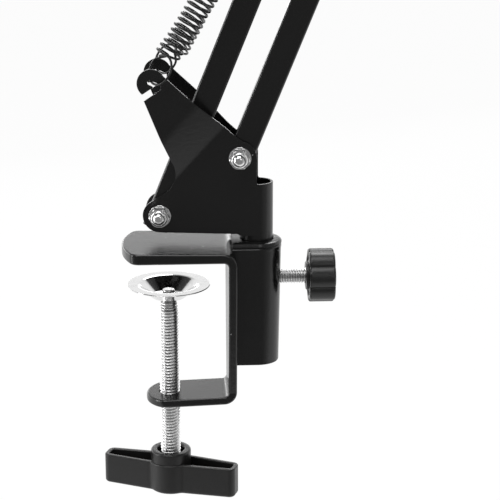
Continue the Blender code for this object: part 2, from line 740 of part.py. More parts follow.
def nut(spot, radius, flats, start, height):
    """A lock nut along -Y with a turned collar at its outer end."""
    collar = flats / 2 * 0.86
    body = height * 0.7
    bm = bmesh.new()
    rows = []
    rows.append([bm.verts.new((x, start, z)) for x, z in circle((0, 0), radius, 12)])
    rows.append([bm.verts.new((x, start, z)) for x, z in hexagon(flats)])
    rows.append([bm.verts.new((x, start - body, z)) for x, z in hexagon(flats)])
    rows.append([bm.verts.new((x, start - body, z)) for x, z in circle((0, 0), collar, 12)])
    rows.append([bm.verts.new((x, start - height, z)) for x, z in circle((0, 0), collar - 0.4 * MM, 12)])
    rows.append([bm.verts.new((x, start - height, z)) for x, z in circle((0, 0), radius, 12)])
    ledge(bm, rows[1], rows[0])
    bridge(bm, rows[1], rows[2])
    ledge(bm, rows[2], rows[3])
    bridge(bm, rows[3], rows[4])
    bridge(bm, rows[4], rows[5])
    bridge(bm, rows[5], rows[0])
    return shifted(bm, spot)


def washer(spot, hole, radius, start):
    """A plain washer between start and start plus its thickness, along +Y."""
    end = start + WASHER_THICK
    return shifted(turned([(hole, start), (radius, start), (radius, end), (hole, end)], 16, "Y"), spot)


def pivot_fasteners(pivots, parent, zinc):
    """Each pivot's bolt from the far side, and its washer and lock nut on the near side."""
    face = PLATE_OUTSIDE + GAP
    beyond = face + WASHER_THICK + GAP
    tip = -beyond - NUT_HEIGHT - BOLT_PROUD
    hole = M4_RADIUS + GAP
    for name, spot in pivots.items():
        solid(name + "_bolt", bolt(spot, M4_RADIUS, NUT_FLATS, BOLT_HEAD, face, tip), zinc, parent)
        solid(name + "_nut", nut(spot, hole, NUT_FLATS, -beyond, NUT_HEIGHT), zinc, parent)
        solid(name + "_washer", washer(spot, hole, WASHER_RADIUS, -face - WASHER_THICK), zinc, parent)


# Arms

def arm_tube(name, length, pin_at, material, axis):
    """A square tube along +Z with its lower pivot at the origin."""
    outer = rounded_rectangle(TUBE / 2, TUBE / 2, TUBE_CORNER)
    inside = TUBE / 2 - TUBE_WALL
    inner = rounded_rectangle(inside, inside, TUBE_CORNER * 0.5)
    low, high = -TUBE_END, length + TUBE_END
    tube = solid(name, upright(outer, low, high), material, axis)
    hollow = upright(inner, low - OVERRUN, high + OVERRUN)
    combine(tube, [solid("hollow", hollow, None, axis)], "DIFFERENCE")
    holes = [cross_cylinder("hole", (0, z), M4_RADIUS + GAP, TUBE, axis) for z in (0, length)]
    if pin_at:
        holes.append(cross_cylinder("pin_hole", (0, pin_at), PIN_RADIUS + GAP, TUBE, axis))
    return combine(tube, holes, "DIFFERENCE")


def spring_pin(name, at, material, axis):
    """A cross pin through the tube, grooved at both ends for the springs' loops."""
    start, stop = EAR_MIDDLE - PIN_GROOVE_WIDTH / 2, EAR_MIDDLE + PIN_GROOVE_WIDTH / 2
    end = stop + PIN_END
    half = [(PIN_RADIUS, start), (PIN_GROOVE, start + 0.3 * MM), (PIN_GROOVE, stop - 0.3 * MM),
            (PIN_RADIUS, stop), (PIN_RADIUS, end - 0.3 * MM), (PIN_RADIUS - 0.3 * MM, end), (0, end)]
    profile = [(r, -y) for r, y in reversed(half)] + half
    return solid(name, shifted(turned(profile, 14, "Y"), (0, at)), material, axis)


def loop_frames(centre, along, across, y, lean):
    """Points round a spring's end loop. It leans so that it weaves through its ear."""
    frames = []
    forward, side = Vector((along[0], 0, along[1])), Vector((across[0], 0, across[1]))
    for i in range(ROUND):
        a = 2 * math.pi * i / ROUND
        outward = forward * math.cos(a) + side * math.sin(a)
        spot = Vector((centre[0], y, centre[1])) + outward * LOOP_RADIUS
        spot.y += lean * math.sin(a)
        frames.append((spot, outward, Vector((0, 1, 0))))
    return frames


def placed_between(bm, start, end, y):
    """A shape drawn up from the origin, laid from one point of the arm's plane towards another."""
    first, last = Vector((start[0], y, start[1])), Vector((end[0], y, end[1]))
    turn = (last - first).to_track_quat("Z", "Y").to_matrix().to_4x4()
    bmesh.ops.transform(bm, matrix=Matrix.Translation(first) @ turn, verts=bm.verts[:])
    return bm


def coil_envelope(start, end, y):
    """The round outer shape of a spring's coil, hollow, with a web at its hook end that carries the neck."""
    length = math.hypot(end[0] - start[0], end[1] - start[1])
    inside, web = SPRING_RADIUS - 2 * WIRE_RADIUS, 2 * WIRE_RADIUS
    tube = [(0, 0), (SPRING_RADIUS, 0), (SPRING_RADIUS, length), (inside, length), (inside, web), (0, web)]
    return placed_between(turned(tube, 16), start, end, y)


def neck_wire(start, end, y):
    """The short straight wire between an end loop and its coil."""
    length = math.hypot(end[0] - start[0], end[1] - start[1])
    wire = [(0, 0), (WIRE_RADIUS, 0), (WIRE_RADIUS, length), (0, length)]
    return placed_between(turned(wire, 8), start, end, y)


def spring_pair(prefix, hook, pull, length, mirrored, material, axis):
    """The near and far springs of one arm, hooked in the ears, and their loops on the tube's pin."""
    along, across = pull_frame(pull, mirrored)
    seat = LOOP_RADIUS - WIRE_RADIUS - GAP - PIN_GROOVE
    first_loop, last_loop = LOOP_RADIUS, length - seat
    coil_start, coil_end = first_loop + LOOP_NECK, last_loop - LOOP_NECK
    loop_edge = first_loop + LOOP_RADIUS - WIRE_RADIUS / 2
    first, last, start, end, edge, web = (
        hook_point(hook, along, across, reach, 0)
        for reach in (first_loop, last_loop, coil_start, coil_end, loop_edge, coil_start + WIRE_RADIUS)
    )
    back = (-along[0], -along[1])
    for side, y in (("near", -EAR_MIDDLE), ("far", EAR_MIDDLE)):
        spring = solid(f"{prefix}_spring_{side}", coil_envelope(start, end, y), material, axis)
        hooked = loop_frames(first, along, across, y, math.copysign(LOOP_LEAN, y))
        loop = solid("loop", swept_ring(hooked, WIRE_RADIUS), None, axis)
        neck = solid("neck", neck_wire(edge, web, y), None, axis)
        combine(spring, [loop, neck], "UNION")
        upper = swept_ring(loop_frames(last, back, across, y, 0), WIRE_RADIUS)
        solid(f"{prefix}_spring_end_{side}", upper, material, axis)


def side_plates(prefix, outline, holes, material, parent, ear=None):
    """A near and a far plate from one outline, with the ear's joggle and slot where there is one."""
    for side, sign in (("near", -1), ("far", 1)):
        low, high = sorted((sign * PLATE_INSIDE, sign * PLATE_OUTSIDE))
        bm = sideways(outline, low, high)
        plate = solid(f"{prefix}_plate_{side}", bm, material, parent)
        cutters = pivot_holes(holes, M4_RADIUS, parent)
        if ear:
            hook, along, across, origin, normal = ear
            reshape(plate, set_out_from, origin, normal)
            cutters += hook_slots(hook, along, across, parent)
        combine(plate, cutters, "DIFFERENCE")


def set_out_from(bm, origin, normal):
    """The elbow's joggle, with its fold lines measured from one pivot."""
    base = origin[0] * normal[0] + origin[1] * normal[1]
    set_out(bm, normal, base + ELBOW_FOLD_INNER, base + ELBOW_FOLD_OUTER)


def lower_arm(black, spring_steel, zinc, swivel):
    """Two parallel tubes from the mast bracket to the elbow, and the springs of the rear one."""
    turn = (0, LOWER_LEAN, 0)
    rear = axis_empty("lower_rear_axis", swivel, (REAR_PIVOT[0], 0, REAR_PIVOT[1]), turn)
    front = axis_empty("lower_front_axis", swivel, (FRONT_PIVOT[0], 0, FRONT_PIVOT[1]), turn)
    arm_tube("lower_rear_tube", LOWER_ARM, PIN_AT, black, rear)
    arm_tube("lower_front_tube", LOWER_ARM, None, black, front)
    spring_pin("lower_spring_pin", PIN_AT, zinc, rear)
    pull, length = spring_line(HOOK, REAR_PIVOT, LOWER_LEAN)
    spring_pair("lower", HOOK, pull, length, False, spring_steel, swivel)
    return axis_empty("elbow_axis", rear, (0, 0, LOWER_ARM), (0, -LOWER_LEAN, 0))


def elbow_outline():
    front = (FRONT_PIVOT[0] - REAR_PIVOT[0], FRONT_PIVOT[1] - REAR_PIVOT[1])
    lower, upper, hook = ELBOW_LOWER, ELBOW_UPPER, ELBOW_HOOK
    points = arc((0, 0), PLATE_BOSS, 150, 307, 8)
    points += arc(front, PLATE_BOSS, -53, 10, 5)
    points += arc(upper, PLATE_BOSS, 3, 45, 4)
    points += [(upper[0] - 1.0 * MM, upper[1] + 10.0 * MM)]
    points += arc(hook, EAR_RADIUS, 40, 215, 10)
    points += [(hook[0] + 0.5 * MM, hook[1] - 14.0 * MM), (lower[0] - PLATE_BOSS, lower[1] + 14.0 * MM)]
    points += arc(lower, PLATE_BOSS, 180, 215, 3)
    return points


def elbow(black, zinc, axis):
    """The two elbow plates, which hold both arms' pivots and the upper springs' ears."""
    front = (FRONT_PIVOT[0] - REAR_PIVOT[0], FRONT_PIVOT[1] - REAR_PIVOT[1])
    pivots = {
        "elbow_rear": (0.0, 0.0), "elbow_front": front,
        "elbow_low": ELBOW_LOWER, "elbow_top": ELBOW_UPPER,
    }
    pull, _ = spring_line(ELBOW_HOOK, ELBOW_UPPER, -UPPER_LEAN)
    along, across = pull_frame(pull, True)
    reach = math.hypot(ELBOW_HOOK[0] - ELBOW_UPPER[0], ELBOW_HOOK[1] - ELBOW_UPPER[1])
    normal = ((ELBOW_HOOK[0] - ELBOW_UPPER[0]) / reach, (ELBOW_HOOK[1] - ELBOW_UPPER[1]) / reach)
    ear = (ELBOW_HOOK, along, across, ELBOW_UPPER, normal)
    side_plates("elbow", elbow_outline(), pivots.values(), black, axis, ear)
    pivot_fasteners(pivots, axis, zinc)


def upper_arm(black, spring_steel, zinc, elbow_axis):
    """Two parallel tubes from the elbow to the head, and the springs of the top one."""
    turn = (0, -UPPER_LEAN, 0)
    top = axis_empty("upper_top_axis", elbow_axis, (ELBOW_UPPER[0], 0, ELBOW_UPPER[1]), turn)
    low = axis_empty("upper_low_axis", elbow_axis, (ELBOW_LOWER[0], 0, ELBOW_LOWER[1]), turn)
    arm_tube("upper_top_tube", UPPER_ARM, PIN_AT, black, top)
    arm_tube("upper_low_tube", UPPER_ARM, None, black, low)
    spring_pin("upper_spring_pin", PIN_AT, zinc, top)
    pull, length = spring_line(ELBOW_HOOK, ELBOW_UPPER, -UPPER_LEAN)
    spring_pair("upper", ELBOW_HOOK, pull, length, True, spring_steel, elbow_axis)
    return axis_empty("head_axis", top, (0, 0, UPPER_ARM), (0, UPPER_LEAN, 0))


# Head

def head(black, zinc, cast, steel, axis):
    """The head plates, the tilting block with its threaded stud, and the tilt bolt's wing nut."""
    low = (ELBOW_LOWER[0] - ELBOW_UPPER[0], ELBOW_LOWER[1] - ELBOW_UPPER[1])
    outline = tangent_hull([(low, PLATE_BOSS), ((0.0, 0.0), PLATE_BOSS), (HEAD_PIVOT, HEAD_BOSS)])
    side_plates("head", outline, (low, (0.0, 0.0)), black, axis)
    for plate in ("head_plate_near", "head_plate_far"):
        hole = cross_cylinder("tilt_hole", HEAD_PIVOT, M5_RADIUS + GAP, EAR_OUTSIDE, axis)
        combine(bpy.data.objects[plate], [hole], "DIFFERENCE")
    pivot_fasteners({"head_low": low, "head_top": (0.0, 0.0)}, axis, zinc)

    tilt = axis_empty("tilt_axis", axis, (HEAD_PIVOT[0], 0, HEAD_PIVOT[1]))
    collar_end = BLOCK_COLLAR_START + BLOCK_COLLAR_HEIGHT
    half = PLATE_INSIDE - GAP
    side = arc((0, 0), BLOCK_RADIUS, 180, 360, 10)
    side += [(BLOCK_RADIUS, BLOCK_COLLAR_START + OVERRUN), (-BLOCK_RADIUS, BLOCK_COLLAR_START + OVERRUN)]
    block = solid("tilt_block", sideways(side, -half, half), cast, tilt)
    rim = 0.5 * MM
    low = BLOCK_COLLAR_START
    collar = [
        (0, low), (BLOCK_COLLAR - rim, low), (BLOCK_COLLAR, low + rim),
        (BLOCK_COLLAR, collar_end - rim), (BLOCK_COLLAR - rim, collar_end), (0, collar_end),
    ]
    combine(block, [solid("collar", turned(collar, 32), None, tilt)], "UNION")
    spigot_floor = collar_end - SPIGOT_LENGTH
    hole = [(0, spigot_floor - GAP), (SPIGOT_RADIUS + GAP, spigot_floor - GAP),
            (SPIGOT_RADIUS + GAP, collar_end + OVERRUN), (0, collar_end + OVERRUN)]
    seat_floor = collar_end - STUD_SEAT
    seat = [(0, seat_floor), (STUD_RADIUS + GAP, seat_floor), (STUD_RADIUS + GAP, collar_end + OVERRUN),
            (0, collar_end + OVERRUN)]
    cutters = [
        solid("spigot_hole", turned(hole, 20), None, tilt),
        solid("stud_seat", turned(seat, 32), None, tilt),
        cross_cylinder("tilt_hole", (0.0, 0.0), M5_RADIUS + GAP, TUBE, tilt),
    ]
    combine(block, cutters, "DIFFERENCE")

    foot = seat_floor + GAP
    stud_top = foot + STUD_LENGTH
    lead = 1.0 * MM
    stud = [
        (0, spigot_floor), (SPIGOT_RADIUS, spigot_floor), (SPIGOT_RADIUS, foot), (STUD_RADIUS - lead, foot),
        (STUD_RADIUS, foot + lead), (STUD_RADIUS, stud_top - lead), (STUD_RADIUS - lead, stud_top),
        (STUD_BORE, stud_top), (STUD_BORE, foot + lead), (0, foot + lead),
    ]
    solid("mic_stud", turned(stud, 32), steel, tilt)
    tilt_fasteners(zinc, cast, axis)


def tilt_fasteners(zinc, cast, axis):
    """The M5 bolt that the block tilts on, with a washer and a wing nut on the near side."""
    face = PLATE_OUTSIDE + GAP
    seat = face + WASHER_THICK + GAP
    tip = -seat - WING_HEIGHT - WING_RISE * 0.5
    made = bolt(HEAD_PIVOT, M5_RADIUS, 8.0 * MM, 3.5 * MM, face, tip)
    solid("tilt_bolt", made, zinc, axis)
    hole = M5_RADIUS + GAP
    under_nut = washer(HEAD_PIVOT, hole, WASHER_RADIUS + 1.0 * MM, -face - WASHER_THICK)
    solid("tilt_washer", under_nut, zinc, axis)

    hub_end = -seat - WING_HEIGHT - 2.0 * MM
    hub = [(0, -seat), (WING_HUB, -seat), (WING_HUB - 0.8 * MM, hub_end), (0, hub_end)]
    wing_nut = solid("tilt_wing_nut", shifted(turned(hub, 20, "Y"), HEAD_PIVOT), cast, axis)
    wings = []
    for sign in (-1, 1):
        root, tip_x = sign * WING_HUB * 0.5, sign * WING_SPAN
        low, high = -seat - 1.0 * MM, -seat - WING_RISE
        outline = [
            (root, low), (sign * WING_HUB * 1.2, low), (tip_x, high + 4.0 * MM), (tip_x, high + 1.0 * MM),
            (tip_x - sign * 1.5 * MM, high), (tip_x - sign * 4.5 * MM, high), (root, hub_end),
        ]
        bm = lofted([[(x, y, z) for x, y in outline] for z in (-WING_THICK / 2, WING_THICK / 2)])
        wings.append(solid("wing", shifted(bm, HEAD_PIVOT), None, axis))
    combine(wing_nut, wings, "UNION")
    bore = cross_cylinder("bore", HEAD_PIVOT, hole, seat + WING_RISE * 3, axis)
    combine(wing_nut, [bore], "DIFFERENCE")


def main():
    clear_scene()
    black = finish("black_paint", (0.012, 0.012, 0.013), 0.32, 0.0)
    plastic = finish("black_plastic", (0.035, 0.034, 0.035), 0.5, 0.0)
    zinc = finish("zinc_plate", (0.72, 0.72, 0.70), 0.28, 1.0)
    chrome = finish("chrome", (0.80, 0.80, 0.80), 0.08, 1.0)
    spring_steel = finish("black_spring_wire", (0.015, 0.015, 0.016), 0.35, 0.6)

    clamp_frame(black)
    clamp_screw(zinc, chrome, plastic)
    lock_screw(zinc, plastic)
    swivel = axis_empty("swivel_axis", None, (MAST_X, 0, 0), (0, 0, SWIVEL))
    mast_bracket(black, swivel)
    pivot_fasteners({"base_rear": REAR_PIVOT, "base_front": FRONT_PIVOT}, swivel, zinc)
    elbow_axis = lower_arm(black, spring_steel, zinc, swivel)
    elbow(black, zinc, elbow_axis)
    head_axis = upper_arm(black, spring_steel, zinc, elbow_axis)
    head(black, zinc, black, zinc, head_axis)


main()
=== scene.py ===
"""The looks of a desk-clamp microphone arm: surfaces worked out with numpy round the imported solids.

Everything is in metres in the solids' own frame. The arm's own plane is turned about the mast; its
points are given as (across, up) from the mast's axis, and along the plane's normal from the middle.
"""
import json
import math

import bmesh
import bpy
import numpy as np
from mathutils import Matrix, Vector
from mathutils.geometry import delaunay_2d_cdt


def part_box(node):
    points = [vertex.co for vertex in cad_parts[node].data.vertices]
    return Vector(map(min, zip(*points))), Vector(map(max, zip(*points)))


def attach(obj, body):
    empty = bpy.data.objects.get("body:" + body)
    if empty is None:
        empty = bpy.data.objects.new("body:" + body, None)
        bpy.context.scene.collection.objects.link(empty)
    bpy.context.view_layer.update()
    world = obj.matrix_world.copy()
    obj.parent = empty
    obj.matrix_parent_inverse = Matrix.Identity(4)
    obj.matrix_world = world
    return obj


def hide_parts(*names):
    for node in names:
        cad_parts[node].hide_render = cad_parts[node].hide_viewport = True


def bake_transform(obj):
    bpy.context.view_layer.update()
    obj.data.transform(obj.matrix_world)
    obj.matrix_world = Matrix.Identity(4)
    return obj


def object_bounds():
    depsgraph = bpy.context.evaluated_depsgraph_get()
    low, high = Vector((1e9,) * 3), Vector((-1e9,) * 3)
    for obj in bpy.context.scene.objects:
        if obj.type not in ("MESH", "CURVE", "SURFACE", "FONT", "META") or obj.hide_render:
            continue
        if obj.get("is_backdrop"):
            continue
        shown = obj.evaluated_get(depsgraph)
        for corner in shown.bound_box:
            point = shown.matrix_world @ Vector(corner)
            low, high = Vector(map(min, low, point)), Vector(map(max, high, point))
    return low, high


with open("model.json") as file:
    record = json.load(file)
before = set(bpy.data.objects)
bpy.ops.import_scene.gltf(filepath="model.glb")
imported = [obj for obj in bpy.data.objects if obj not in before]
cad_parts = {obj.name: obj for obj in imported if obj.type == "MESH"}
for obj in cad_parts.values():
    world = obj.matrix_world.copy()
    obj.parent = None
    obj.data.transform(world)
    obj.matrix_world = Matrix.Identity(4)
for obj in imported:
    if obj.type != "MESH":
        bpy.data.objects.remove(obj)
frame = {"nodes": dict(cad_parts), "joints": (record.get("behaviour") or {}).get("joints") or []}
cad_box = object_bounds()

MM = 0.001
TURN = 2 * math.pi
UP = np.array([0.0, 0.0, 1.0])
RIGHT = np.array([1.0, 0.0, 0.0])
AWAY = np.array([0.0, 1.0, 0.0])

# The photograph's view
VIEW_TARGET = np.array([31.75, 0.0, 0.42]) * MM
VIEW_DISTANCE = 640.0 * MM
VIEW_ELEVATION = math.radians(16.3)
VIEW_AZIMUTH = math.radians(-3.2)
VIEW_FOCAL = 118.8

# Joints, which place the pieces
joint = {j["name"]: j for j in frame["joints"]}
spot = {name: np.array(j["pos_m"]) for name, j in joint.items() if "pos_m" in j}
MAST = spot["mast_swivel"]
ACROSS_PLANE = np.array(joint["lower_arm_lean"]["axis"])
IN_PLANE = np.cross(ACROSS_PLANE, UP)
REAR, FRONT = spot["lower_arm_lean"], spot["lower_link_lean"]
ELBOW_REAR = spot["elbow_level"]
ELBOW_FRONT = ELBOW_REAR + FRONT - REAR
ELBOW_TOP, ELBOW_LOW = spot["upper_arm_lean"], spot["upper_link_lean"]
HEAD_TOP = spot["head_level"]
HEAD_LOW = HEAD_TOP + ELBOW_LOW - ELBOW_TOP
TILT = spot["mic_tilt"]

# Sizes shared with the solids
GAP = 0.3 * MM
PLATE_FACE = 6.2 * MM
EAR_MIDDLE = 12.05 * MM
TUBE_HALF = 5.0 * MM
TUBE_WALL = 1.0 * MM
TUBE_END = 6.0 * MM
WASHER_THICK = 0.8 * MM
NUT_HEIGHT = 4.4 * MM
NUT_FLATS = 7.0 * MM
BOLT_RADIUS = 2.0 * MM
BOLT_HOLE = BOLT_RADIUS + GAP
MAST_RADIUS = 6.2 * MM
MAST_BORE = MAST_RADIUS + GAP
LOCK_DROP = 10.2 * MM

# Meshes: an angle in degrees, distances in metres, and shares of a side or of a thread's pitch
SHARP_EDGE = 32
DOUBLE = 1e-7
SOLID_DOUBLE = 2e-6
CLOSE = 1e-9
TINY = 1e-12
PARALLEL = 1e-18
EITHER_SIDE = 1e-6
SIDE_SHARE = 0.48
THREAD_ROOT = 0.2
THREAD_FLANK = 0.66
ROWS_A_TURN = 14


# Numpy surfaces

def mesh_piece(name, points, faces, sharp=SHARP_EDGE):
    """A piece from points and faces: doubles merged, faces turned outwards, smooth but for sharp edges."""
    mesh = bpy.data.meshes.new(name)
    mesh.from_pydata(points.tolist(), [], faces)
    bm = bmesh.new()
    bm.from_mesh(mesh)
    bmesh.ops.remove_doubles(bm, verts=bm.verts, dist=DOUBLE)
    bmesh.ops.recalc_face_normals(bm, faces=bm.faces)
    bm.to_mesh(mesh)
    bm.free()
    mesh.shade_smooth()
    mesh.set_sharp_from_angle(angle=math.radians(sharp))
    piece = bpy.data.objects.new(name, mesh)
    bpy.context.scene.collection.objects.link(piece)
    return piece


def grid(name, rows, ring=False, caps=True, sharp=SHARP_EDGE):
    """A skin over rows of points. Each row closes on itself; ring joins the last row to the first."""
    count, across = rows.shape[:2]
    spans = count if ring else count - 1
    i, j = np.meshgrid(np.arange(spans), np.arange(across), indexing="ij")
    k, m = (i + 1) % count, (j + 1) % across
    quads = np.stack([i * across + j, i * across + m, k * across + m, k * across + j], -1)
    faces = quads.reshape(-1, 4).tolist()
    if caps and not ring:
        faces.append(list(range(across)))
        faces.append(list(range((count - 1) * across, count * across)))
    return mesh_piece(name, rows.reshape(-1, 3), faces, sharp)


def softened(points, reach, steps=4, closed=False):
    """A polyline whose corners are quadratic curves between points at most reach before and after them."""
    p = np.asarray(points, float)
    before, after = np.roll(p, 1, 0), np.roll(p, -1, 0)
    back = np.linalg.norm(before - p, axis=1, keepdims=True)
    on = np.linalg.norm(after - p, axis=1, keepdims=True)
    reach = np.broadcast_to(np.reshape(reach, (-1, 1)), back.shape)
    start = p + (before - p) / np.maximum(back, TINY) * np.minimum(reach, back * SIDE_SHARE)
    end = p + (after - p) / np.maximum(on, TINY) * np.minimum(reach, on * SIDE_SHARE)
    t = np.linspace(0, 1, steps)[None, :, None]
    curve = (1 - t) ** 2 * start[:, None] + 2 * t * (1 - t) * p[:, None] + t ** 2 * end[:, None]
    if closed:
        return curve.reshape(-1, p.shape[1])
    inner = curve[1:-1].reshape(-1, p.shape[1])
    return np.vstack([p[:1], inner, p[-1:]])


def set_on(points, origin, axis, side):
    """Points given as (side, over, axis) placed at an origin along an axis."""
    axis = axis / np.linalg.norm(axis)
    side = side - axis * (side @ axis)
    side = side / np.linalg.norm(side)
    over = np.cross(axis, side)
    return origin + points @ np.stack([side, over, axis])


def around(a, r, h):
    """Points round an axis: (r cos a, r sin a, h)."""
    return np.stack(np.broadcast_arrays(r * np.cos(a), r * np.sin(a), h), -1)


def turned(a, rows):
    """Rows round an axis, from pairs of a radius, or one for each angle, and a height."""
    return np.array([around(a, r, h) for r, h in rows])


def at_height(outline, z):
    """A flat outline's points at a height."""
    return np.column_stack([outline, np.full(len(outline), z)])


def lathe(name, profile, origin, axis, side=RIGHT, count=64, soft=0.0, ring=False):
    """A profile of (radius, height) turned round an axis."""
    profile = np.asarray(profile, float)
    if soft:
        profile = softened(profile, soft, 4, ring)
    a = np.arange(count) * TURN / count
    rows = around(a, profile[:, :1], profile[:, 1:])
    return grid(name, set_on(rows, origin, axis, side), ring, not ring)


def threaded(name, stations, pitch, depth, zone, origin, axis, side, count):
    """A screw: the radius follows the stations, less the groove depth * (1 - ridge) within the zone,
    where ridge is a clipped triangle wave of height / pitch - angle / turn."""
    z, r = np.asarray(stations, float).T
    dense = np.arange(zone[0], zone[1], pitch / ROWS_A_TURN)
    heights = np.unique(np.concatenate([z - EITHER_SIDE, z + EITHER_SIDE, dense]))
    heights = heights[(heights >= z[0]) & (heights <= z[-1])]
    a = np.arange(count) * TURN / count
    wave = np.mod(heights[:, None] / pitch - a[None] / TURN, 1)
    ridge = np.clip((1 - np.abs(2 * wave - 1) - THREAD_ROOT) / THREAD_FLANK, 0, 1)
    fade = np.clip((heights - zone[0]) / pitch, 0, 1) * np.clip((zone[1] - heights) / pitch, 0, 1)
    radius = np.interp(heights, z, r)[:, None] - depth * (1 - ridge) * fade[:, None]
    return grid(name, set_on(around(a, radius, heights[:, None]), origin, axis, side), sharp=60)


def wire(name, path, radius, reference, sides=10):
    """A round wire along a path: each ring lies in the plane of the cross products of the path's
    direction with a reference direction."""
    along = np.gradient(path, axis=0)
    along /= np.linalg.norm(along, axis=1, keepdims=True)
    over = np.cross(along, reference)
    over /= np.linalg.norm(over, axis=1, keepdims=True)
    side = np.cross(over, along)
    a = np.arange(sides) * TURN / sides
    ring = over[:, None] * np.cos(a)[:, None] + side[:, None] * np.sin(a)[:, None]
    return grid(name, path[:, None] + ring * radius, sharp=60)


def hexagon_radius(angle, flats):
    """The distance to a hexagon's side at an angle: flats / 2 / cos(angle from the side's middle)."""
    return flats / 2 / np.cos(np.mod(angle + TURN / 12, TURN / 6) - TURN / 12)


def drilled(piece, radius, low, high, origin, axis, side, count):
    """A piece less a round hole that runs from low to high along an axis."""
    drill = lathe("drill", [(0, low), (radius, low), (radius, high), (0, high)], origin, axis, side, count)
    step = piece.modifiers.new("hole", "BOOLEAN")
    step.operation = "DIFFERENCE"
    step.solver = "EXACT"
    step.object = drill
    bake(piece)
    bpy.data.objects.remove(drill)
    return piece


def bake(piece):
    """Apply a piece's modifiers to its mesh."""
    bpy.context.view_layer.update()
    depsgraph = bpy.context.evaluated_depsgraph_get()
    mesh = bpy.data.meshes.new_from_object(piece.evaluated_get(depsgraph))
    piece.modifiers.clear()
    piece.data = mesh
    mesh.shade_smooth()
    mesh.set_sharp_from_angle(angle=math.radians(SHARP_EDGE))


def refined(node):
    """A copy of a cast solid with its faces joined and its edges rounded."""
    source = frame["nodes"][node]
    piece = bpy.data.objects.new(node + "_dressed", source.data.copy())
    bpy.context.scene.collection.objects.link(piece)
    piece.data.materials.clear()
    bm = bmesh.new()
    bm.from_mesh(piece.data)
    bmesh.ops.remove_doubles(bm, verts=bm.verts, dist=SOLID_DOUBLE)
    bmesh.ops.dissolve_limit(bm, angle_limit=math.radians(1.0), verts=bm.verts, edges=bm.edges)
    bm.to_mesh(piece.data)
    bm.free()
    edge = piece.modifiers.new("edges", "BEVEL")
    edge.width = CAST_EDGE
    edge.segments = 3
    edge.limit_method = "ANGLE"
    edge.angle_limit = math.radians(35)
    edge.use_clamp_overlap = False
    edge.harden_normals = True
    bake(piece)
    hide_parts(node)
    return piece


# Shader maths

class Value:
    """A shader socket: arithmetic on it adds Math nodes."""

    def __init__(self, tree, socket):
        self.tree = tree
        self.socket = socket

    def math(self, operation, other=0.0, swap=False):
        """One Math node on this socket and another value, in this order or swapped."""
        node = self.tree.nodes.new("ShaderNodeMath")
        node.operation = operation
        for slot, value in zip(node.inputs, (other, self) if swap else (self, other)):
            feed(self.tree, slot, value)
        return Value(self.tree, node.outputs[0])

    def __add__(self, other):
        return self.math("ADD", other)

    def __radd__(self, other):
        return self.math("ADD", other, True)

    def __sub__(self, other):
        return self.math("SUBTRACT", other)

    def __rsub__(self, other):
        return self.math("SUBTRACT", other, True)

    def __mul__(self, other):
        return self.math("MULTIPLY", other)

    def __rmul__(self, other):
        return self.math("MULTIPLY", other, True)

    def __truediv__(self, other):
        return self.math("DIVIDE", other)

    def __gt__(self, other):
        return self.math("GREATER_THAN", other)

    def __lt__(self, other):
        return self.math("LESS_THAN", other)


def feed(tree, slot, value):
    """Link a socket to a value, or set it where the value is plain."""
    if isinstance(value, Value):
        tree.links.new(value.socket, slot)
    else:
        slot.default_value = value


class Shader:
    """A node tree that is filled by one method."""

    def __init__(self, tree):
        self.tree = tree

    def add(self, kind, settings=None, sockets=None, output=0):
        """A node of a kind, its settings made first, then its sockets' values or links."""
        node = self.tree.nodes.new("ShaderNode" + kind)
        for key, value in (settings or {}).items():
            if key == "stops":
                for stop, (place, level) in zip(node.color_ramp.elements, value):
                    stop.position = place
                    stop.color = (level, level, level, 1.0)
            else:
                setattr(node, key, value)
        for key, value in (sockets or {}).items():
            feed(self.tree, node.inputs[key], value)
        return Value(self.tree, node.outputs[output])

    def ramp(self, value, low, high):
        """0 at low, 1 at high, straight between."""
        return self.add("MapRange", {}, {0: value, 1: low, 2: high, 3: 0.0, 4: 1.0})

    def blend(self, factor, first, second):
        """A mix of two colours."""
        node = self.tree.nodes.new("ShaderNodeMix")
        node.data_type = "RGBA"
        feed(self.tree, node.inputs[0], factor)
        feed(self.tree, node.inputs[6], first)
        feed(self.tree, node.inputs[7], second)
        return Value(self.tree, node.outputs[2])


class Finish(Shader):
    """A Principled finish whose changes over the surface come from the piece's own place."""

    def __init__(self, name, plain=None):
        self.material = bpy.data.materials.new(name)
        self.material.use_nodes = True
        super().__init__(self.material.node_tree)
        self.shader = self.tree.nodes["Principled BSDF"]
        self.place = self.add("TexCoord", output=3)
        for key, value in (plain or {}).items():
            self.shader.inputs[key].default_value = value

    def noise(self, scale, detail=2.0, roughness=0.5):
        """Noise at the surface's own place, about 0.5 in the middle."""
        sockets = {"Vector": self.place, "Scale": scale, "Detail": detail, "Roughness": roughness}
        return self.add("TexNoise", {}, sockets)

    def drive(self, **links):
        """Feed the shader's sockets, named in small letters."""
        for key, value in links.items():
            feed(self.tree, self.shader.inputs[key.replace("_", " ").title()], value)
        return self

    def bump(self, height, distance):
        """Raise the surface by a height times a distance."""
        return self.drive(normal=self.add("Bump", {}, {"Height": height, "Distance": distance}))


def grey(level, warm=0.0):
    """A grey, with a share more red and less blue."""
    return (level * (1 + warm), level, level * (1 - warm), 1.0)


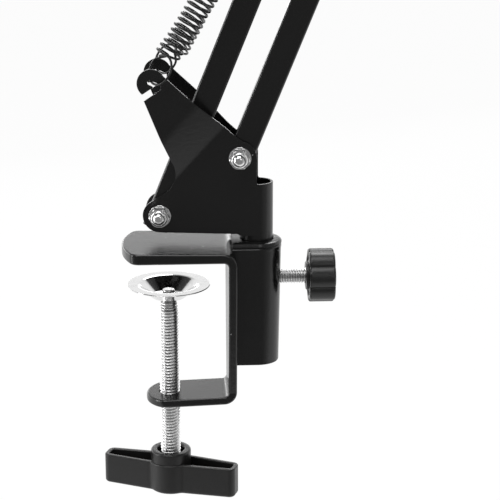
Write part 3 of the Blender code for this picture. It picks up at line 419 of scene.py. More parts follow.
def black_paint(name, tone, roughness, peel):
    """Semi-gloss black paint: a slight orange peel, uneven gloss, and rare specks of dust."""
    made = Finish(name, {"IOR": 1.5})
    cells = {"Vector": made.place, "Scale": 210.0}
    pick = made.add("SeparateColor", {}, {0: made.add("TexVoronoi", {}, cells, 1)})
    speck = (made.add("TexVoronoi", {}, cells) < 0.05) * (pick > 0.8)
    made.drive(base_color=made.blend(speck, grey(tone, 0.02), grey(0.30)))
    made.drive(roughness=roughness + (made.noise(90.0, 3.0) - 0.5) * 0.14 + speck * 0.3)
    return made.bump(made.noise(650.0) * 0.8 + made.noise(1400.0, 1.0) * 0.2, peel).material


def black_plastic(name, tone, roughness):
    """Moulded plastic with a fine spark grain and faint handling marks."""
    made = Finish(name, {"IOR": 1.46})
    marks = made.noise(160.0, 4.0, 0.6)
    made.drive(base_color=made.blend(marks, grey(tone * 0.85, 0.02), grey(tone * 1.15, 0.02)))
    made.drive(roughness=roughness + (marks - 0.5) * 0.2)
    return made.bump(made.noise(3200.0), 0.03 * MM).material


def zinc_plate(name, tone, roughness, thread=None):
    """Bright zinc plate: mottled gloss, small dark stains and a fine grain. On a thread (origin, axis,
    root radius, crest radius), painted shade darkens the grooves, standing in for the shade between the
    turns."""
    made = Finish(name, {"Metallic": 1.0})
    mottle = made.noise(420.0, 4.0, 0.6)
    stain = made.ramp(made.noise(900.0, 3.0, 0.7), 0.60, 0.72)
    colour = made.blend(mottle, grey(tone * 0.86), grey(tone * 1.08))
    colour = made.blend(stain, colour, grey(tone * 0.45))
    if thread:
        origin, axis, root, crest = thread
        arm = made.add("VectorMath", {"operation": "SUBTRACT"}, {0: made.place, 1: tuple(origin)})
        arm = made.add("VectorMath", {"operation": "CROSS_PRODUCT"}, {0: arm, 1: tuple(axis)})
        radius = made.add("VectorMath", {"operation": "LENGTH"}, {0: arm}, 1)
        # Painted shade: the colour darkens from the crest down to the root, so that the grooves look
        # shaded; radii further below the root are left alone
        painted_groove_shade = made.ramp(radius, crest, root) * (radius > root - GROOVE_SHADE_REACH)
        colour = made.blend(painted_groove_shade, colour, grey(tone * 0.32))
    made.drive(base_color=colour, roughness=roughness + (mottle - 0.5) * 0.22)
    return made.bump(mottle, 0.02 * MM).material


def chromed(name):
    """Pressed steel under chrome: nearly a mirror, with faint scuffs."""
    made = Finish(name, {"Metallic": 1.0})
    scuff = made.noise(260.0, 5.0, 0.7)
    rub = made.ramp(scuff, 0.5, 0.8)
    made.drive(base_color=made.blend(rub, grey(0.74), grey(0.58)), roughness=0.10 + rub * 0.14)
    return made.bump(scuff, 0.015 * MM).material


def spring_wire(name):
    """Hard-drawn wire, blacked and oiled, rubbed brighter in places."""
    made = Finish(name, {"Metallic": 0.7})
    rub = made.noise(500.0, 3.0)
    made.drive(base_color=made.blend(made.ramp(rub, 0.5, 0.75), grey(0.025), grey(0.10)))
    made.drive(roughness=0.32 + (rub - 0.5) * 0.2)
    return made.bump(made.noise(2600.0, 1.0), 0.01 * MM).material


# Painted shade in the thread grooves: how far below the root it reaches, and each thread's origin, axis,
# root radius and crest radius
GROOVE_SHADE_REACH = 0.3 * MM
SCREW_GROOVE_SHADE = ((0, 0, 0), UP, 3.2 * MM, 3.65 * MM)
STUD_GROOVE_SHADE = ((0, 0, -LOCK_DROP), RIGHT, 2.5 * MM, 2.9 * MM)
PAINT = black_paint("clamp_paint", 0.0038, 0.23, 0.05 * MM)
SHEET_PAINT = black_paint("sheet_paint", 0.0045, 0.24, 0.03 * MM)
PLASTIC = black_plastic("handle_plastic", 0.0095, 0.34)
ZINC = zinc_plate("zinc", 0.82, 0.20)
SCREW_ZINC = zinc_plate("screw_zinc", 0.96, 0.28, SCREW_GROOVE_SHADE)
STUD_ZINC = zinc_plate("stud_zinc", 0.92, 0.26, STUD_GROOVE_SHADE)
CHROME = chromed("dish_chrome")
WIRE = spring_wire("blacked_wire")


def dress(piece, material, body, *nodes):
    """Give a piece its finish and, where a body is named, its body, and let it stand for its solids.
    A piece with a body gets normals that follow the larger faces, so that a flat face stays flat up to its
    rounded edge."""
    piece.data.materials.clear()
    piece.data.materials.append(material)
    if body:
        piece.modifiers.new("normals", "WEIGHTED_NORMAL").keep_sharp = True
        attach(piece, body)
    if nodes:
        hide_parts(*nodes)
    return piece


# Clamp

JAW_TIP = -17.8 * MM
JAW_HALF = 17.5 * MM
JAW_CROWN = 38.0 * MM
JAW_THICK_TIP = 4.3 * MM
JAW_THICK_BEND = 3.7 * MM
THROAT = 57.0 * MM
BAR_INSIDE = 22.8 * MM
BAR_THICK = 3.3 * MM
BEND_INSIDE = 1.8 * MM
LOWER_TIP = -9.2 * MM
LOWER_HALF = 11.3 * MM
LOWER_CROWN = 13.0 * MM
LOWER_THICK = 3.1 * MM
LOWER_DROOP = math.radians(2.0)
CORNER = 4.0 * MM
STRIP_ROUND = 0.8 * MM
TIP_SHARES = np.array([0.35, 0.65, 0.85, 1.0])
SCREW_HOLE = 4.3 * MM


def corner_distance(crown, half):
    """From a jaw's tip to the middle of its corner arcs: Rc - sqrt((Rc - r)^2 - (half - r)^2)."""
    return crown - math.sqrt((crown - CORNER) ** 2 - (half - CORNER) ** 2)


def tip_distances(crown, half, count=12):
    """Distances from a jaw's tip: even angles round the crowned end and round its corner."""
    turn = math.asin((half - CORNER) / (crown - CORNER))
    end = crown * (1 - np.cos(np.linspace(0, turn, count)))
    corner = corner_distance(crown, half) - CORNER * np.cos(np.linspace(turn, TURN / 4, count))
    d = np.unique(np.concatenate([end, corner, STRIP_ROUND * TIP_SHARES]))
    d[0] = STRIP_ROUND * 0.01
    return d


def half_width(d, e, crown, half):
    """Half the width at distance d from the tip of the plan moved in by e: on the crowned end
    sqrt((Rc - e)^2 - (Rc - d)^2), on the corner half - r + sqrt((r - e)^2 - (dc - d)^2)."""
    centre = corner_distance(crown, half)
    join = centre - (CORNER - e) * math.sqrt(1 - ((half - CORNER) / (crown - CORNER)) ** 2)
    crowned = np.sqrt(np.maximum((crown - e) ** 2 - np.maximum(crown - d, 0) ** 2, 0))
    corner = half - CORNER + np.sqrt(np.maximum((CORNER - e) ** 2 - np.maximum(centre - d, 0) ** 2, 0))
    return np.where(d < join, crowned, corner)


def strip_section(inner, outer, d, crown, half):
    """Sections between inner and outer points with rounded edges: at edge angle a the plan is moved
    in by r (1 - cos a) and the height is thick / 2 - r + r sin a, as far as the tip's distance lets it."""
    through = outer - inner
    thick = np.linalg.norm(through, axis=1, keepdims=True)
    through = through / thick
    last = np.arccos(1 - np.minimum(d, STRIP_ROUND) / STRIP_ROUND)[:, None]
    a = last * np.linspace(0, 1, 7)
    w = half_width(d[:, None], STRIP_ROUND * (1 - np.cos(a)), crown, half)
    h = thick / 2 - STRIP_ROUND * (1 - np.sin(a))
    side = np.hstack([w, -w[:, ::-1], -w, w[:, ::-1]])
    deep = np.hstack([h, h[:, ::-1], -h, -h[:, ::-1]])
    middle = (inner + outer) / 2
    return middle[:, None] + through[:, None] * deep[..., None] + AWAY * side[..., None]


def clamp_strip():
    """The C-shaped strip: sections carried along jaw, bend, bar, bend and jaw."""
    bend_x = BAR_INSIDE - BEND_INSIDE
    outer_across = BAR_THICK + BEND_INSIDE
    droop = math.tan(LOWER_DROOP)
    floor = -THROAT + droop * bend_x

    def run(x, z):
        """Points at heights along the strip's middle."""
        return np.stack([x, 0 * x, z + 0 * x], -1)

    def bend(z, across, up, a):
        """A quarter of an ellipse round the bend's centre."""
        return run(bend_x + across * np.cos(a), z + up * np.sin(a))

    a = np.linspace(1, 0, 14) * TURN / 4
    past = THROAT + 0 * a
    d = tip_distances(JAW_CROWN, JAW_HALF)
    x = JAW_TIP + d
    thick = JAW_THICK_TIP + (JAW_THICK_BEND - JAW_THICK_TIP) * d / (bend_x - JAW_TIP)
    inner = np.vstack([run(x, 0.0), bend(-BEND_INSIDE, BEND_INSIDE, BEND_INSIDE, a)])
    outer = np.vstack([run(x, thick), bend(-BEND_INSIDE, outer_across, JAW_THICK_BEND + BEND_INSIDE, a)])
    upper = strip_section(inner, outer, np.hstack([d, past]), JAW_CROWN, JAW_HALF)

    a = a[::-1]
    d = tip_distances(LOWER_CROWN, LOWER_HALF)[::-1]
    x = LOWER_TIP + d
    top = floor - droop * (bend_x - x)
    turn_z = floor + BEND_INSIDE
    inner = np.vstack([bend(turn_z, BEND_INSIDE, -BEND_INSIDE, a), run(x, top)])
    outside_bend = bend(turn_z, outer_across, -LOWER_THICK - BEND_INSIDE, a)
    outer = np.vstack([outside_bend, run(x, top - LOWER_THICK)])
    lower = strip_section(inner, outer, np.hstack([past, d]), LOWER_CROWN, LOWER_HALF)
    strip = grid("clamp_strip", np.vstack([upper, lower]))
    return drilled(strip, SCREW_HOLE, -THROAT - 9 * MM, -THROAT + 5 * MM, np.zeros(3), UP, RIGHT, 64)


SLEEVE_RADIUS = 9.5 * MM
SLEEVE_BACK = 9.8 * MM
SLEEVE_TOP = 5.6 * MM
SLEEVE_BOTTOM = -44.1 * MM
SLEEVE_DRAFT = 0.8 * MM
SLEEVE_GROOVE = 3.4 * MM
SLEEVE_SINK = 0.15 * MM
SLEEVE_DRAIN = 2.0 * MM
MAST_FOOT = -41.8 * MM
LOCK_HOLE = 3.3 * MM
WELD_HEIGHTS = (-3.6 * MM, -20.3 * MM, -36.8 * MM)
WELD_HALVES = np.array([0.55, 0.5, 0.75]) * MM
WELD_RIPPLE = 0.08


def sleeve():
    """The mast's sleeve: one skin down the outside, over the lip and down the bore. A row of the
    outside is a half circle and two flat sides; a row of the bore is a circle."""
    half = np.linspace(-0.25, 0.25, 37) * TURN
    side, end = np.linspace(0, 1, 8)[1:], np.linspace(1, -1, 12)[1:]
    back = side[::-1][1:]

    def outside(r):
        """The half circle, one flat side, the flat back and the other side."""
        x = [r * np.cos(half), -SLEEVE_BACK * side, 0 * end - SLEEVE_BACK, -SLEEVE_BACK * back]
        y = [r * np.sin(half), 0 * side + r, end * r, 0 * back - r]
        return np.stack([np.concatenate(x), np.concatenate(y)], -1)

    def inside(r):
        """A circle with as many points, its front half at the same angles."""
        rest = len(side) + len(end) + len(back)
        a = np.concatenate([half, np.linspace(0.25, 0.75, rest + 2)[1:-1] * TURN])
        return r * np.stack([np.cos(a), np.sin(a)], -1)

    body, groove = SLEEVE_RADIUS - SLEEVE_SINK, SLEEVE_GROOVE
    foot, ridge, lip = body - SLEEVE_DRAFT, body + 0.12 * MM, SLEEVE_RADIUS + 0.1 * MM
    outer = [(foot - 0.4 * MM, SLEEVE_BOTTOM), (foot - 0.1 * MM, SLEEVE_BOTTOM + 0.1 * MM),
             (foot, SLEEVE_BOTTOM + 0.4 * MM), (body, groove - 1.4 * MM), (ridge, groove - 1.2 * MM),
             (ridge, groove - 0.35 * MM), (body - SLEEVE_SINK, groove),
             (body - SLEEVE_SINK, groove + 0.15 * MM), (lip, groove + 0.5 * MM),
             (lip, SLEEVE_TOP - 1.1 * MM), (SLEEVE_RADIUS - 0.3 * MM, SLEEVE_TOP - 0.35 * MM),
             (SLEEVE_RADIUS - 1.1 * MM, SLEEVE_TOP)]
    bore = [(MAST_BORE + 0.35 * MM, SLEEVE_TOP), (MAST_BORE, SLEEVE_TOP - 0.35 * MM),
            (MAST_BORE, MAST_FOOT - GAP), (SLEEVE_DRAIN, MAST_FOOT - GAP), (SLEEVE_DRAIN, SLEEVE_BOTTOM)]
    rows = [at_height(outside(r), z) for r, z in outer] + [at_height(inside(r), z) for r, z in bore]
    piece = grid("sleeve", np.array(rows) + MAST, ring=True, caps=False, sharp=40)
    return drilled(piece, LOCK_HOLE, 1 * MM, SLEEVE_RADIUS + 2 * MM, MAST - UP * LOCK_DROP, RIGHT, UP, 48)


def weld_beads():
    """Weld beads down the seam of bar and sleeve: ellipsoids whose skins ripple a little."""
    seam = np.array([BAR_INSIDE + BAR_THICK, 0.9 * MM - SLEEVE_RADIUS, 0.0])
    u = np.linspace(0, 1, 20)[:, None] * TURN / 2
    v = np.arange(24)[None] * TURN / 24
    ripple = 1 + WELD_RIPPLE * np.sin(5 * v + 7 * u) * np.sin(u)
    skin = around(v, np.sin(u) * ripple, np.cos(u)) * WELD_HALVES
    for n, z in enumerate(WELD_HEIGHTS):
        dress(grid(f"weld_bead_{n + 1}", skin + seam + UP * z, caps=False), PAINT, "clamp")


DISH_DROP = 12.6 * MM
DISH_RADIUS = 16.2 * MM
DISH_DEPTH = 5.6 * MM
DISH_SHEET = 0.7 * MM
DISH_RIM = 0.45 * MM
DISH_FLANGE = 4.4 * MM
DISH_LEAN = 40.0
DISH_BEND = 3.0 * MM
DISH_SHOULDER = 2.2 * MM
SCREW_RADIUS = 4.0 * MM
SCREW_PITCH = 1.25 * MM
SCREW_GROOVE = 0.74 * MM
SCREW_CHAMFER = 0.7 * MM
LAND_RADIUS = 2.9 * MM
NECK = 2.0 * MM
NECK_FOOT = -18.5 * MM
NECK_TOP = -17.2 * MM
RIVET = 2.5 * MM
RIVET_TOP = -14.8 * MM
THREAD_TOP = -20.3 * MM
THREAD_LEAD = 3.5 * MM
THREAD_END = -94.0 * MM
STEP = 0.01 * MM


def round_off(centre, radius, start, end, count=9):
    """Points on an arc, angles in degrees: centre + radius (cos a, sin a)."""
    a = np.radians(np.linspace(start, end, count))
    return np.asarray(centre) + radius * np.stack([np.cos(a), np.sin(a)], -1)


def pressure_dish():
    """The dish, turned from a profile: floor, round bend, leaning side, round shoulder, flat flange."""
    floor = -DISH_DROP - DISH_DEPTH
    bend_share = math.tan(math.radians(DISH_LEAN / 2))
    shoulder = (DISH_RADIUS - DISH_FLANGE + DISH_SHOULDER * bend_share, -DISH_DROP - DISH_SHOULDER)
    corner = DISH_RADIUS - DISH_FLANGE - (DISH_DEPTH - DISH_SHEET) / math.tan(math.radians(DISH_LEAN))
    bend = (corner - (DISH_BEND - DISH_SHEET) * bend_share, floor + DISH_BEND)
    rim = (DISH_RADIUS - DISH_RIM / 2, -DISH_DROP - DISH_RIM / 2)
    profile = np.vstack([
        [[NECK + GAP, floor + DISH_SHEET]], round_off(bend, DISH_BEND - DISH_SHEET, -90, DISH_LEAN - 90),
        round_off(shoulder, DISH_SHOULDER, DISH_LEAN + 90, 90), round_off(rim, DISH_RIM / 2, 90, -90),
        round_off(shoulder, DISH_SHOULDER - DISH_SHEET, 90, DISH_LEAN + 90),
        round_off(bend, DISH_BEND, DISH_LEAN - 90, -90), [[NECK + GAP, floor]]])
    return lathe("pressure_dish_dressed", profile, np.zeros(3), UP, count=128, ring=True)


def clamp_screw():
    """The M8 screw: lead, rolled thread, neck, and the head that is riveted over in the dish."""
    stations = [(THREAD_END, SCREW_RADIUS - SCREW_CHAMFER), (THREAD_END + SCREW_CHAMFER, SCREW_RADIUS),
                (THREAD_TOP - THREAD_LEAD, SCREW_RADIUS), (THREAD_TOP, SCREW_RADIUS - 0.8 * MM),
                (NECK_FOOT - 0.05 * MM, LAND_RADIUS), (NECK_FOOT, NECK), (NECK_TOP, NECK),
                (NECK_TOP + STEP, RIVET), (RIVET_TOP - 0.5 * MM, RIVET),
                (RIVET_TOP - 0.15 * MM, RIVET - 0.2 * MM), (RIVET_TOP, RIVET - 0.6 * MM),
                (RIVET_TOP + STEP, 0.05 * MM)]
    zone = (THREAD_END + 0.2 * MM, THREAD_TOP + 0.6 * MM)
    name = "clamp_screw_dressed"
    return threaded(name, stations, SCREW_PITCH, SCREW_GROOVE, zone, np.zeros(3), UP, RIGHT, 44)


HANDLE_YAW = math.radians(-20.3)
HANDLE_HALF = 27.6 * MM
HANDLE_TIP = 4.15 * MM
HANDLE_MIDDLE = 5.7 * MM
HANDLE_CORNER = 2.6 * MM
HANDLE_TOP = -86.2 * MM
HANDLE_BOTTOM = -98.4 * MM
HANDLE_WALL = 1.8 * MM
HANDLE_FOOT = 1.2 * MM
HANDLE_RIM = 0.5 * MM
HANDLE_BLEND = 0.35 * MM
HANDLE_TIP_ARC = 82
HUB_TOP = -81.6 * MM
HUB_RADIUS = 8.0 * MM
HUB_BULGE = 8.5 * MM
HUB_FOOT = HANDLE_BOTTOM + 2.4 * MM
COUNTERBORE = 5.4 * MM
COUNTERBORE_DEPTH = 3.0 * MM


def handle_plan(count=80):
    """The handle's plan: wings that taper outside the hub, smooth maximum with the hub's circle, and
    rounded tips."""
    reach = HANDLE_HALF - HANDLE_CORNER
    u = np.linspace(-1, 1, count) * reach
    wing = np.interp(np.abs(u), [HUB_RADIUS, reach], [HANDLE_MIDDLE, HANDLE_TIP])
    hub = np.sqrt(np.maximum(HUB_BULGE ** 2 - u ** 2, 0))
    h = HANDLE_BLEND * np.log(np.exp(wing / HANDLE_BLEND) + np.exp(hub / HANDLE_BLEND))
    top = np.stack([u, h], -1)
    low = HANDLE_TIP - HANDLE_CORNER
    tip = np.vstack([round_off((reach, low), HANDLE_CORNER, HANDLE_TIP_ARC, 0),
                     round_off((reach, -low), HANDLE_CORNER, 0, -HANDLE_TIP_ARC)])
    return np.vstack([top, tip, -top, -tip])


def inset(outline, distance):
    """A closed outline moved along its normals, (along_y, -along_x)."""
    along = np.roll(outline, -1, 0) - np.roll(outline, 1, 0)
    normal = np.stack([along[:, 1], -along[:, 0]], -1)
    normal /= np.linalg.norm(normal, axis=1, keepdims=True)
    return outline + normal * distance


def t_handle():
    """The hollow grip: insets of the plan stacked up the outside, over the rim and down the inside."""
    plan = handle_plan()
    foot, rim = HANDLE_FOOT, HANDLE_RIM
    a = np.linspace(0, 1, 7) * TURN / 4
    s, c = np.sin(a), np.cos(a)
    moved = np.concatenate([foot * (1 - s), rim * (1 - c), HANDLE_WALL - rim * (1 - s), [HANDLE_WALL]])
    height = np.concatenate([HANDLE_BOTTOM + foot * (1 - c), HANDLE_TOP - rim * (1 - s),
                             HANDLE_TOP - rim * (1 - c), [HANDLE_BOTTOM + HANDLE_WALL]])
    along, over = math.cos(HANDLE_YAW), math.sin(HANDLE_YAW)
    turn = np.array([[along, over], [-over, along]])
    rows = [at_height(inset(plan, d) @ turn, z) for d, z in zip(moved, height)]
    return grid("handle_grip", np.array(rows), sharp=50)


def handle_hub():
    """The ring that the screw is moulded in, turned, with a counterbore."""
    ledge, inner = HUB_TOP - COUNTERBORE_DEPTH, SCREW_RADIUS + GAP
    profile = [(inner, HUB_FOOT), (HUB_RADIUS, HUB_FOOT), (HUB_RADIUS, HUB_TOP), (COUNTERBORE, HUB_TOP),
               (COUNTERBORE, ledge), (inner, ledge)]
    edges = np.array([0.2, 0.2, 1.0, 0.8, 0.3, 0.2]) * MM
    return lathe("handle_hub", softened(profile, edges, 7, True), np.zeros(3), UP, count=88, ring=True)


KNOB_FACE = 53.5 * MM
KNOB_BODY = 54.5 * MM
KNOB_END = 64.5 * MM
KNOB_RADIUS = 10.6 * MM
KNOB_EDGE = 0.9 * MM
KNOB_BOSS = 5.6 * MM
KNOB_BORE = 3.3 * MM
KNOB_SINK = 0.6 * MM
KNOB_RING = 8.2 * MM
KNOB_DISH = 7.6 * MM
KNOB_DISH_DEPTH = 0.8 * MM
KNOB_LOBES = 7
KNOB_DIP = 1.15 * MM
KNOB_DIP_POWER = 0.7
KNOB_LOBE_LIFT = math.radians(11.6)
STUD_END = 61.3 * MM
STUD_THREAD = 3.0 * MM
LOCK_PITCH = 1.0 * MM
LOCK_GROOVE = 0.48 * MM


def lock_knob():
    """The knob: r = R - dip (1 - |cos(lobes a / 2)|^power) round X, stacked with rounded edges, a boss
    on its face and a dished end."""
    a = np.arange(196) * TURN / 196
    lobed = KNOB_RADIUS - KNOB_DIP * (1 - np.abs(np.cos(KNOB_LOBES * a / 2)) ** KNOB_DIP_POWER)
    q = np.linspace(0, 1, 6) * TURN / 4
    edge = list(zip(KNOB_EDGE * (1 - np.cos(q)), KNOB_EDGE * (1 - np.sin(q))))
    sunk, dished = KNOB_BODY + KNOB_SINK, KNOB_END - KNOB_DISH_DEPTH
    rows = [(KNOB_BORE, KNOB_FACE + 6.0 * MM), (KNOB_BORE, KNOB_FACE), (KNOB_BOSS - 0.2 * MM, KNOB_FACE),
            (KNOB_BOSS, KNOB_FACE + 0.2 * MM), (KNOB_BOSS, KNOB_BODY), (KNOB_BOSS + 0.8 * MM, sunk),
            (KNOB_RING, sunk), (KNOB_RING + 0.4 * MM, KNOB_BODY)]
    rows += [(lobed - back, KNOB_BODY + on) for on, back in edge]
    rows += [(lobed - back, KNOB_END - on) for back, on in edge]
    rows += [(KNOB_DISH, KNOB_END), (KNOB_DISH - 0.8 * MM, dished), (3.0 * MM, dished - 0.2 * MM)]
    side = np.array([0.0, -math.cos(KNOB_LOBE_LIFT), math.sin(KNOB_LOBE_LIFT)])
    return grid("lock_knob_dressed", set_on(turned(a, rows), -UP * LOCK_DROP, RIGHT, side), sharp=40)


def lock_stud():
    """The headless M6 screw: a rolled thread with a chamfered tip."""
    tip = MAST[0] + MAST_BORE
    stations = [(tip, STUD_THREAD - 0.8 * MM), (tip + 0.8 * MM, STUD_THREAD),
                (STUD_END - 0.3 * MM, STUD_THREAD), (STUD_END, STUD_THREAD - 0.4 * MM)]
    zone = (tip + 0.1 * MM, STUD_END)
    name, start = "lock_stud_dressed", -UP * LOCK_DROP
    return threaded(name, stations, LOCK_PITCH, LOCK_GROOVE, zone, start, RIGHT, UP, 32)


def clamp():
    """The clamp's pieces, with the screws that turn in it."""
    dress(clamp_strip(), PAINT, "clamp", "clamp_frame")
    dress(sleeve(), PAINT, "clamp")
    weld_beads()
    dress(pressure_dish(), CHROME, "pad", "pressure_dish")
    dress(clamp_screw(), SCREW_ZINC, "screw", "clamp_screw")
    dress(t_handle(), PLASTIC, "screw", "clamp_handle")
    dress(handle_hub(), PLASTIC, "screw")
    dress(lock_knob(), PLASTIC, "knob", "lock_knob")
    dress(lock_stud(), STUD_ZINC, "lock_screw", "lock_stud")


# Tubes, pins and springs

TUBE_CORNER = 1.2 * MM
TUBE_CORNER_INSIDE = 0.6 * MM
TUBE_BREAK = 0.12 * MM
PIN_RADIUS = 2.0 * MM
PIN_GROOVE = 1.5 * MM


def square_tube(node, start, end, body, holes):
    """A square tube from end to end: rounded squares carried along its axis, outside and inside."""
    along = (end - start) / np.linalg.norm(end - start)
    low, high = start - along * TUBE_END, end + along * TUBE_END
    length = np.linalg.norm(high - low)
    a = np.linspace(0, 1, 7) * TURN / 4

    def square(half, corner):
        """A square's quarter with a round corner, four times round."""
        quarter = (half - corner) + corner * np.stack([np.cos(a), np.sin(a)], -1)
        turns = [np.array([[math.cos(k), math.sin(k)], [-math.sin(k), math.cos(k)]])
                 for k in np.arange(4) * TURN / 4]
        return np.vstack([quarter @ t for t in turns])

    bore, bend, tight = TUBE_HALF - TUBE_WALL, TUBE_CORNER, TUBE_CORNER_INSIDE
    outside = [(TUBE_HALF - TUBE_BREAK, bend - 0.1 * MM, 0.0), (TUBE_HALF, bend, TUBE_BREAK)]
    inside = [(bore, tight, TUBE_BREAK), (bore + TUBE_BREAK, tight + 0.1 * MM, 0.0)]
    far = [(half, corner, length - z) for half, corner, z in reversed(inside + outside)]
    rows = [at_height(square(half, corner), z) for half, corner, z in outside + far + inside]
    points = set_on(np.array(rows), low, along, ACROSS_PLANE)
    tube = grid(node + "_dressed", points, ring=True, caps=False, sharp=40)
    reach = TUBE_HALF + 2 * MM
    for place in holes:
        drilled(tube, BOLT_HOLE, -reach, reach, place, ACROSS_PLANE, UP, 32)
    dress(tube, SHEET_PAINT, body, node)


def grooved_pin(node, place, body):
    """The springs' cross pin: turned, with a groove at each end."""
    start, stop = EAR_MIDDLE - 1.2 * MM, EAR_MIDDLE + 1.2 * MM
    slope, end = 0.3 * MM, stop + 2.2 * MM
    half = [(PIN_RADIUS, start), (PIN_GROOVE, start + slope), (PIN_GROOVE, stop - slope),
            (PIN_RADIUS, stop), (PIN_RADIUS, end - 0.4 * MM), (PIN_RADIUS - 0.4 * MM, end), (0.0, end)]
    profile = [(r, -y) for r, y in reversed(half)] + half
    dress(lathe(node + "_dressed", profile, place, ACROSS_PLANE, UP, 40), ZINC, body, node)


SPRING_COIL = 4.35 * MM
SPRING_WIRE = 0.45 * MM
SPRING_PITCH = 2.34 * MM
LOOP_SIDE = 3.8 * MM
LOOP_REACH = 5.75 * MM
LOOP_LEAN = 3.9 * MM
LOOP_START = math.radians(-50)
LOOP_STOP = math.radians(284)
HOOK_SEAT = 0.2 * MM
COIL_START = 11.1 * MM
PIN_SEAT = 2.5 * MM
SWAY = {1: -0.5 * MM, -1: -1.5 * MM}
SWAY_FADE = 14.0 * MM
UNEVEN, UNEVEN_RATE = 0.12 * MM, 0.37
WANDER, WANDER_RATE = 0.16 * MM, 0.11
SWELL, SWELL_RATE = 0.08 * MM, 0.23
SHIFT_WAY = np.array([1.0, -0.3, 0.0])
NECK_REACH = 5.0 * MM
ROWS_A_COIL = 22


def open_loop(centre, facing, lean_by):
    """A loop of the wire: an open ring that faces along the spring or back, leaning to one side."""
    a = np.linspace(LOOP_START, LOOP_STOP, 72)
    along = centre + facing * LOOP_REACH * np.cos(a)
    return np.stack([LOOP_SIDE * np.sin(a), lean_by * np.sin(a), along], -1)


def neck_between(before, after):
    """The wire's bend from one stretch to the next: a cubic curve that keeps both their directions."""
    leaving, reaching = [(q - p) / np.linalg.norm(q - p) * NECK_REACH for p, q in (before[-2:], after[:2])]
    t = np.linspace(0, 1, 24)[1:-1, None]
    return ((2 * t ** 3 - 3 * t ** 2 + 1) * before[-1] + (t ** 3 - 2 * t ** 2 + t) * leaving
            + (3 * t ** 2 - 2 * t ** 3) * after[0] + (t ** 3 - t ** 2) * reaching)


def spring_stretches(length, coil_end, side):
    """One wire in its spring's own axes: a loop through the ear, a neck, the coil, a neck and a loop on
    the pin. The coil is (r cos a, r sin a, pitch a / turn) with slow waves in its pitch, place and
    radius."""
    turns = round((coil_end - COIL_START) / SPRING_PITCH) + 0.5
    a = np.linspace(0, turns * TURN, int(turns * ROWS_A_COIL)) + TURN / 4
    run = np.linspace(COIL_START, coil_end, len(a)) + UNEVEN * np.sin(a * UNEVEN_RATE + side)
    shift = WANDER * np.sin(a * WANDER_RATE + 2 * side)
    shift += SWAY[-side] * np.exp((COIL_START - run) / SWAY_FADE)
    coil = around(a, SPRING_COIL + SWELL * np.sin(a * SWELL_RATE), run) + shift[:, None] * SHIFT_WAY
    hooked = open_loop(LOOP_REACH - HOOK_SEAT, 1, -LOOP_LEAN)
    upper = open_loop(length - PIN_SEAT, -1, 0.0)[::-1]
    return hooked, neck_between(hooked, coil), coil, neck_between(coil, upper), upper


def tension_spring(prefix, hook, pin, turned_over, side):
    """A spring on one side of the arm. Its coil is drawn from the hook to the pin, and its wire's rings
    turn from the hooked loop's plane to the coil's axis and back."""
    length = np.linalg.norm(pin - hook)
    coil_end = length - COIL_START - PIN_SEAT
    stretches = spring_stretches(length, coil_end, side)
    shares = ((0, 0), (0, 1), (1, 1), (1, 0), (0, 0))
    share = np.concatenate([np.linspace(*ends, len(s)) for ends, s in zip(shares, stretches)])[:, None]
    axis = (pin - hook) / length
    across = np.cross(ACROSS_PLANE, axis) * (-1 if turned_over else 1)
    middle = hook + ACROSS_PLANE * EAR_MIDDLE * side
    own_axes = np.stack([-side * across, -side * ACROSS_PLANE, axis])
    loop_normal = LOOP_SIDE * ACROSS_PLANE + LOOP_LEAN * across
    reference = (1 - share) * loop_normal / np.linalg.norm(loop_normal) + share * axis
    end = "near" if side < 0 else "far"
    path = middle + np.vstack(stretches) @ own_axes
    piece = wire(f"{prefix}_spring_{end}_wire", path, SPRING_WIRE, reference)
    dress(piece, WIRE, None, f"{prefix}_spring_{end}", f"{prefix}_spring_end_{end}")
    low, high = middle + axis * COIL_START, middle + axis * coil_end
    prefix + "_springs"
    prefix + "_spring_ends"
    tuple(low)
    tuple(high)
    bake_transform(piece)


# Fasteners

CHAMFER_SLOPE = 1.4
BOLT_CHAMFER = 0.5 * MM
BOLT_CONE = 1.02
BOLT_DISH = (0.30, 0.36)
BOLT_DISH_DEPTH = 0.1 * MM
NUT_CHAMFER = 0.35 * MM
NUT_CONE = 1.03
NUT_BODY = 0.68
NUT_COLLAR = 0.90
NUT_DOME = 0.9 * MM
HEAD_HEIGHT = 2.8 * MM
BOLT_PROUD = 1.2 * MM
WASHER_RADIUS = 4.25 * MM
WASHER_EDGE = 0.16 * MM
HEX_ANGLES = np.arange(72) * TURN / 72


def chamfered(flats, cone, depth, count):
    """Pairs of a hexagon's radii and a depth under its end: the smaller of the hexagon and a cone."""
    six = hexagon_radius(HEX_ANGLES, flats)
    depths = np.linspace(0, 1, count) * depth
    return [(np.minimum(six, flats / 2 * cone + d * CHAMFER_SLOPE), d) for d in depths]


def hex_bolt(node, place, radius, flats, head, tip_at, body):
    """A bolt along the plane's normal: a chamfered head with a shallow dish, the shank, its domed end."""
    seat = PLATE_FACE + GAP
    top = seat + head
    six = hexagon_radius(HEX_ANGLES, flats)
    dished = top - BOLT_DISH_DEPTH
    rows = [(0.02 * flats, dished), (BOLT_DISH[0] * flats, dished), (BOLT_DISH[1] * flats, top)]
    rows += [(r, top - d) for r, d in chamfered(flats, BOLT_CONE, BOLT_CHAMFER, 5)]
    rows += [(six, seat + 0.05 * MM), (six * 0.985, seat), (radius, seat), (radius, tip_at + 0.7 * MM),
             (radius - 0.35 * MM, tip_at + 0.35 * MM), (0.65 * radius, tip_at + 0.15 * MM),
             (0.4 * radius, tip_at + 0.03 * MM), (0.05 * radius, tip_at)]
    bolt = grid(node + "_dressed", set_on(turned(HEX_ANGLES, rows), place, ACROSS_PLANE, UP))
    dress(bolt, ZINC, body, node)


